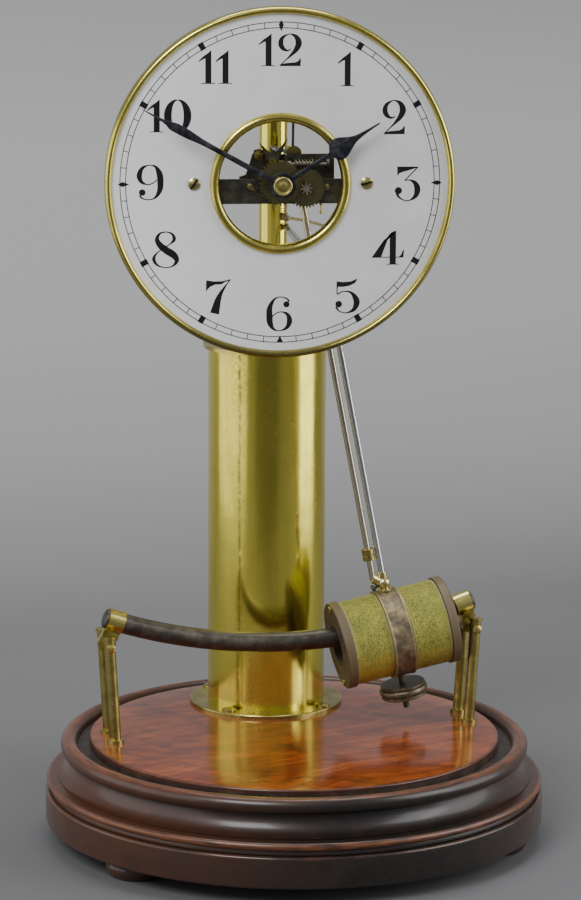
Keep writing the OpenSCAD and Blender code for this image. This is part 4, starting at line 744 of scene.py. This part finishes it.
def draw_nought(bm):
    path = []
    for angle in range(90, 451, 20):
        across, up = math.cos(math.radians(angle)), math.sin(math.radians(angle))
        path.append((27 * across * (1 + 0.06 * abs(across)), 49.2 * up, 2.4 + 17.5 * abs(across) ** 1.4))
    ribbon(bm, path, 3)


def make_numbers():
    """Twelve upright numbers on a circle round the dial, as one raised black layer."""
    drawn = {1: [(draw_one, 0)], 2: [(draw_two, 0)], 3: [(draw_three, 0)], 4: [(draw_four, 0)],
        5: [(draw_five, 0)], 6: [(draw_six, 0)], 7: [(draw_seven, 0)], 8: [(draw_eight, 0)],
        9: [(draw_nine, 0)], 10: [(draw_one, -37), (draw_nought, 24)], 11: [(draw_one, -25), (draw_one, 25)],
        12: [(draw_one, -37), (draw_two, 24)]}
    # Each number's own step to the right and up, and its height against the others
    nudges = {12: (0, 0.6, 0.94), 1: (0.3, 0, 1), 2: (-0.3, 0, 1), 3: (-1.4, -0.3, 1), 4: (-2, 0, 1),
        5: (0.5, 0, 1), 6: (0, 0, 1), 7: (1.3, 0, 1), 8: (-0.6, 0.3, 1), 9: (0, 0.7, 1), 10: (1.1, 0.9, 0.95),
        11: (0.7, 0.9, 0.97)}
    circle_r, width, height, thick = 53.4, 0.139, 0.138, 0.01
    layer = bmesh.new()
    for hour, digits in drawn.items():
        number = bmesh.new()
        for draw, aside in digits:
            digit = bmesh.new()
            draw(digit)
            bmesh.ops.translate(digit, vec=(aside, 0, 0), verts=digit.verts)
            merge(number, digit)
        right, up, tall = nudges[hour]
        angle = math.radians(30 * hour)
        at = (circle_r * math.sin(angle) + right, 0, circle_r * math.cos(angle) + up)
        bmesh.ops.scale(number, vec=(width, thick, height * tall), verts=number.verts)
        bmesh.ops.translate(number, vec=at, verts=number.verts)
        merge(layer, number)
    bmesh.ops.recalc_face_normals(layer, faces=layer.faces)
    for face in layer.faces:
        if face.normal.y > 0:
            face.normal_flip()
    grown = bmesh.ops.extrude_face_region(layer, geom=list(layer.faces))
    for vertex in only(bmesh.types.BMVert, grown):
        vertex.co.y = 0.0
    return layer


def make_track():
    """Two thin circles and minute strokes; hours have blocks, the quarters diamonds and six a point."""
    bm = bmesh.new()
    outer, inner, line, paint = 65.2, 62.9, 0.34, 0.031
    middle = (outer + inner) / 2
    for r in (outer, inner):
        low, high = r - line / 2, r + line / 2
        merge(bm, turned([(low, 0), (high, 0), (high, 0.03), (low, 0.03)], closed=True, steps=240))
    for minute in range(60):
        mark = bmesh.new()
        if minute % 15 == 0:
            corners = [(0, outer + 0.9), (1.05, middle + 0.15), (0, inner - 1.5), (-1.05, middle + 0.15)]
            if minute == 30:
                corners = [(1.4, outer + 0.1), (0, inner - 0.5), (-1.4, outer + 0.1)]
            face = mark.faces.new([mark.verts.new((x, y, paint)) for x, y in corners])
            thicken(mark, [face], (0, 0, -paint))
        else:
            width, extra = (2.3, 0.8) if minute % 5 == 0 else (0.32, 0)
            bmesh.ops.create_cube(mark, size=1)
            bmesh.ops.scale(mark, vec=(width, outer - inner + extra, paint), verts=mark.verts)
            bmesh.ops.translate(mark, vec=(0, middle, paint / 2), verts=mark.verts)
        bmesh.ops.rotate(mark, verts=mark.verts, matrix=turn(-6 * minute, "Z").to_3x3())
        merge(bm, mark)
    return bm


def make_dial():
    """Numbers and minute track, bezel, and the ring round the dial's opening."""
    piece("dial_numbers", make_numbers(), HEAD, "clock", DIAL_BLACK, outward=False)
    piece("minute_track", make_track(), OUT_OF_DIAL, "clock", DIAL_BLACK)
    bezel = ([(70.12, -3.2), (71.3, -3.2), (71.5, -3.0), (71.5, 0)] + bow(70.0, 0, 1.5, 2.2, 8, 172, 20)
        + [(68.5, 0), (70.12, -0.02)])
    piece("bezel_spun", turned(bezel, closed=True, steps=288), OUT_OF_DIAL, "clock", BEZEL_BRASS,
        ["dial_bezel"])
    ring = [(25.0, -2.4), (26.18, -2.4), (26.18, -0.02), (28.8, -0.02)] + bow(26.9, 0, 1.9, 2.0, 6, 174, 20)
    piece("opening_ring_spun", turned(ring, closed=True, steps=224), OUT_OF_DIAL, "clock", BEZEL_BRASS,
        ["opening_ring"])


# Hands and the pinion beside them
def make_blade(half, length, front):
    """A hand's flat blade: half an outline of (half width, share of the length), mirrored."""
    thick, edge = 0.7, 0.12
    outline = [(x, t * length) for x, t in half] + [(-x, t * length) for x, t in reversed(half)]
    blade = slab(outline, thick, edge)
    bmesh.ops.translate(blade, vec=(0, front, 0), verts=blade.verts)
    return blade


def make_hub(profile):
    """A hand's round hub, its axis out of the dial."""
    hub = turned(profile, closed=True, steps=96)
    bmesh.ops.rotate(hub, verts=hub.verts, matrix=turn(-90, "X").to_3x3())
    return hub


def make_hands():
    """Minute hand with the nut that holds it, and hour hand."""
    minute_front, hour_front = -9.2, -6.2
    half = [(1.1, 0), (1.1, 0.3), (1.05, 0.48), (1.2, 0.575), (1.45, 0.62), (1.76, 0.666), (1.9, 0.71),
        (1.9, 0.759), (1.6, 0.785), (1.2, 0.808), (0.85, 0.833), (0.6, 0.86), (0.4, 0.905), (0.28, 0.955),
        (0.15, 1)]
    blade = make_blade(half, MINUTE_HAND_L, minute_front)
    merge(blade, make_hub([(1.76, -9.25), (1.76, -7.7), (5.2, -7.7), (5.3, -7.9), (5.3, -9.0), (5.1, -9.3),
        (3.9, -9.3), (3.7, -9.25)]))
    piece("minute_hand_blade", blade, HEAD @ turn(MINUTE_ANGLE, "Y"), "minute_hand", BLUED_STEEL,
        ["minute_hand"])
    nut = [(1.02, 9.3), (3.8, 9.3), (3.85, 9.5)] + bow(3.35, 10.35, 0.5, 0.5, 0, 100, 8) + [(2.9, 10.62),
        (2.3, 10.58), (1.7, 10.66), (1.02, 10.8)]
    piece("hand_nut", turned(nut, closed=True, steps=96), OUT_OF_DIAL, "minute_hand", NUT_BRASS)

    half = [(1, 0), (0.85, 0.46), (0.92, 0.495), (2.2, 0.512), (3.6, 0.53), (4.4, 0.55), (4.72, 0.575),
        (4.5, 0.604), (4.05, 0.633), (3.3, 0.662), (2.55, 0.69), (1.85, 0.72), (1.35, 0.75), (1.02, 0.785),
        (0.75, 0.83), (0.5, 0.9), (0.3, 1.0)]
    blade = make_blade(half, HOUR_HAND_L, hour_front)
    merge(blade, make_hub([(2.82, -6.4), (2.82, -4.5), (4.9, -4.5), (5.1, -4.7), (5.1, -6.2), (4.9, -6.4)]))
    piece("hour_hand_blade", blade, HEAD @ turn(HOUR_ANGLE, "Y"), "hour_hand", BLUED_STEEL,
        ["hour_hand"])


def make_pinion():
    """Bright end of the minute wheel's eight leaved pinion."""
    leaves, tip_r, root_share, thick, front = 8, 2.55, 0.42, 0.25, -0.62
    across, up = MINUTE_WHEEL_AT
    bm = bmesh.new()
    rim = bmesh.ops.create_circle(bm, cap_ends=True, segments=4 * leaves, radius=tip_r)["verts"]
    for i, vertex in enumerate(rim):
        if i % 4 > 1:
            vertex.co *= root_share
    thicken(bm, list(bm.faces), (0, 0, thick))
    piece("pinion_end", bm, HEAD @ shift(across, front, up) @ turn(90, "X"), "minute_wheel",
        PINION_STEEL)


# Coil and wires
def make_windings():
    """Fine silk covered turns on each half of the coil, over a plain core."""
    first, last, turns, steps, thread = 4.65, 21.15, 34, 40, 0.235
    lay_r, core_r, bore_r = 17.74, 17.62, 10.25
    for side, name, replaced in ((-1, "silk_turns_left", ["winding_left", "silk_cores"]),
            (1, "silk_turns_right", ["winding_right"])):
        points = []
        for i in range(turns * steps + 1):
            a = 2 * math.pi * i / steps
            along = first + thread + (last - first - 2 * thread) * i / (turns * steps)
            # The turns don't lie quite evenly
            wander = 0.05 * math.sin(0.37 * a + side) + 0.035 * math.sin(1.13 * a + 2 * side)
            r = lay_r + 0.05 * math.sin(0.61 * a) + 0.04 * math.sin(0.093 * a + side)
            points.append((r * math.cos(a), r * math.sin(a), side * along + wander * 0.6))
        bm = wire(points, thread, 6)
        low, high = sorted((side * first, side * last))
        core = [(bore_r, low), (core_r, low), (core_r, high), (bore_r, high)]
        merge(bm, turned(core, closed=True, steps=96))
        piece(name, bm, COIL, "pendulum", SILK, replaced)


def make_springs():
    """Contact spring from the upper column to the left rod, and the pigtail beside the column."""
    start = Vector((4.6, 36.6, 252.9))
    hold, rod_aside, ahead = 66, 4.3, 3
    swing = math.radians(-SWING_REST)
    target = Vector((hold * math.sin(swing) - rod_aside * math.cos(swing), SWING_Y + ahead,
        PIVOT_Z - hold * math.cos(swing) - rod_aside * math.sin(swing)))
    run = target - start
    facing = Euler((0, math.acos(run.z / run.length), math.atan2(run.y, run.x))).to_matrix().to_4x4()
    bm = wire(curl(1.45, run.length, 24, 24, 0.4), 0.13, 8)
    spring = piece("contact_spring_wire", bm, TABLE @ Matrix.Translation(start) @ facing, None, GREY_WIRE,
        ["contact_spring"])
    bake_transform(spring)
    out, foot_z, below_dial = 7.5, 259.2, 8.6
    foot = (out * math.sin(math.pi / 6), UPPER_Y - out * math.cos(math.pi / 6), foot_z)
    bm = wire(curl(0.8, DIAL_Z - below_dial - foot_z, 8, 24, 0.3), 0.15, 8)
    piece("pigtail_wire", bm, TABLE @ shift(*foot), "clock", GREY_WIRE, ["pigtail_coil"])


def make_lead():
    """Braided lead from the battery up the upper column, out of its side and forward to the movement."""
    cord_r = 0.65
    route = [(0, 47.5, 150.2), (0, 46.8, 155.6), (0, 44.8, 159.5), (0, 43.4, 165), (0, 43.3, 176),
        (0, 43.3, 196), (0, 43.3, 216), (0, 43.3, 236), (0, 43.3, 248), (0.2, 43, 252.4), (0.85, 41.8, 255.6),
        (1.9, 40, 257), (3.535, 37.177, 257.2), (5, 34.6, 257.3), (7, 30.6, 257.3), (9.2, 26.8, 257.2),
        (11.5, 22.8, 256.9), (14.2, 18.4, 256.4), (16.6, 14, 256), (18.4, 9.8, 255.8), (19.9, 6, 256.2),
        (20.9, 1.8, 257.6), (21.1, -2.2, 260.4), (20.6, -5.4, 264.6), (19.8, -7.5, 269), (19.1, -8.9, 272),
        (18.55, -10.2, 273.5), (18.4, -10.75, 273.6)]
    piece("braided_lead_cord", wire(smooth_route(route, 6), cord_r, 12), TABLE, "clock", BRAID,
        ["braided_lead"])


make_base()
make_column()
make_dial()
make_hands()
make_pinion()
make_windings()
make_springs()
make_lead()


# Stage, light and camera
def show_on_stage(name, bm, material):
    """Makes a stage object, in metres."""
    mesh = bpy.data.meshes.new(name)
    bm.to_mesh(mesh)
    bm.free()
    for face in mesh.polygons:
        face.use_smooth = True
    mesh.materials.append(material)
    obj = bpy.data.objects.new(name, mesh)
    bpy.context.scene.collection.objects.link(obj)


def studio_paper():
    """Pale paper with painted shade: darker in front and at its upper edge."""
    f = Finish("studio_paper")
    fibre = f.noise(f.at(), 300, 2)
    back, height = f.parts(f.at())[1:]
    # Painted light and shade: the paper grows lighter from front to back, and darker again high on the
    # backdrop
    tone = f.ramp(f.level(back, 0, 1200), (0.0, (0.100, 0.101, 0.104)), (0.33, (0.142, 0.142, 0.145)),
        (0.70, (0.34, 0.34, 0.343)), (0.92, (0.43, 0.43, 0.433)))
    tone = f.blend(f.level(height, 150, 330), tone, (0.32, 0.32, 0.323))
    tone = f.blend(fibre * 0.12, tone, (0.50, 0.50, 0.50))
    return f.close(Base_Color=tone, Roughness=0.75, Specular_IOR_Level=0.2)


def make_stage():
    """Floor that curves up into a backdrop, low enough for a view from behind to look over it."""
    half, forward = 3, 1.9
    bm = bmesh.new()
    bmesh.ops.create_grid(bm, x_segments=1, y_segments=1, size=half)
    back = [e for e in bm.edges if all(v.co.y > half - 0.1 for v in e.verts)]
    for rise, run in ((0.03, 0.10), (0.08, 0.12), (0.14, 0.12), (0.06, 0.02)):
        grown = bmesh.ops.extrude_edge_only(bm, edges=back)
        back = only(bmesh.types.BMEdge, grown)
        bmesh.ops.translate(bm, verts=only(bmesh.types.BMVert, grown), vec=(0, run, rise))
    bmesh.ops.translate(bm, verts=bm.verts, vec=(0, -forward, 0))
    bmesh.ops.recalc_face_normals(bm, faces=bm.faces)
    show_on_stage("studio", bm, studio_paper())
    # A dark cloth lies on the table in front of the picture, and the brass shows it as a dark band
    half_length, half_width = 0.74, 0.46
    bm = bmesh.new()
    bmesh.ops.create_circle(bm, cap_ends=True, segments=48, radius=1)
    bmesh.ops.scale(bm, vec=(half_length, half_width, 1), verts=bm.verts)
    bmesh.ops.transform(bm, verts=bm.verts, matrix=shift(-0.27, -1.16, 0.001) @ turn(76.9, "Z"))
    black, worn = (0.022, 0.022, 0.022), (0.042, 0.042, 0.040)
    show_on_stage("cloth", bm, plain("dark_cloth", black, worn, 0.9, 0.0, 40))


def soft_light(name, at, towards, width, height, power):
    """A rectangular lamp that faces a point."""
    data = bpy.data.lights.new(name, "AREA")
    data.shape = "RECTANGLE"
    data.size, data.size_y = width, height
    data.energy = power
    lamp = bpy.data.objects.new(name, data)
    lamp.location = at
    lamp.rotation_euler = (Vector(towards) - Vector(at)).to_track_quat("-Z", "Y").to_euler()
    bpy.context.scene.collection.objects.link(lamp)


def make_lights():
    """Soft air, three lamps above and two cards of light that the brass column shows at its sides."""
    world = bpy.data.worlds.new("studio_air")
    world.use_nodes = True
    sky = world.node_tree.nodes["Background"]
    sky.inputs["Color"].default_value = (0.80, 0.81, 0.84, 1)
    sky.inputs["Strength"].default_value = 0.42
    bpy.context.scene.world = world
    soft_light("key", (-1.1, -1.3, 1.5), (0, 0, 0.18), 0.9, 0.9, 32)
    soft_light("fill", (1.3, -0.9, 0.9), (0, 0, 0.15), 0.8, 1.2, 14)
    soft_light("top", (0.1, 0.3, 1.9), (0, 0, 0.1), 1.2, 0.8, 16)
    soft_light("left_card", (-0.60, 0.0, 0.2), (0, 0.023, 0.12), 0.80, 0.5, 1.5)
    soft_light("right_card", (0.55, -0.14, 0.2), (0, 0.053, 0.12), 0.38, 0.5, 1.45)


def make_camera():
    """The photograph's camera: its place in metres and its tilt, roll and heading in degrees."""
    place = (-0.330196, -1.360506, 0.437354)
    tilt, roll, heading = 78.97772, -0.30522, -13.49216
    data = bpy.data.cameras.new("camera")
    data.lens = 137.13
    data.sensor_width = 36
    data.clip_start = 0.05
    camera = bpy.data.objects.new("camera", data)
    camera.location = place
    camera.rotation_euler = [math.radians(angle) for angle in (tilt, roll, heading)]
    bpy.context.scene.collection.objects.link(camera)
    bpy.context.scene.camera = camera


make_stage()
make_lights()
make_camera()
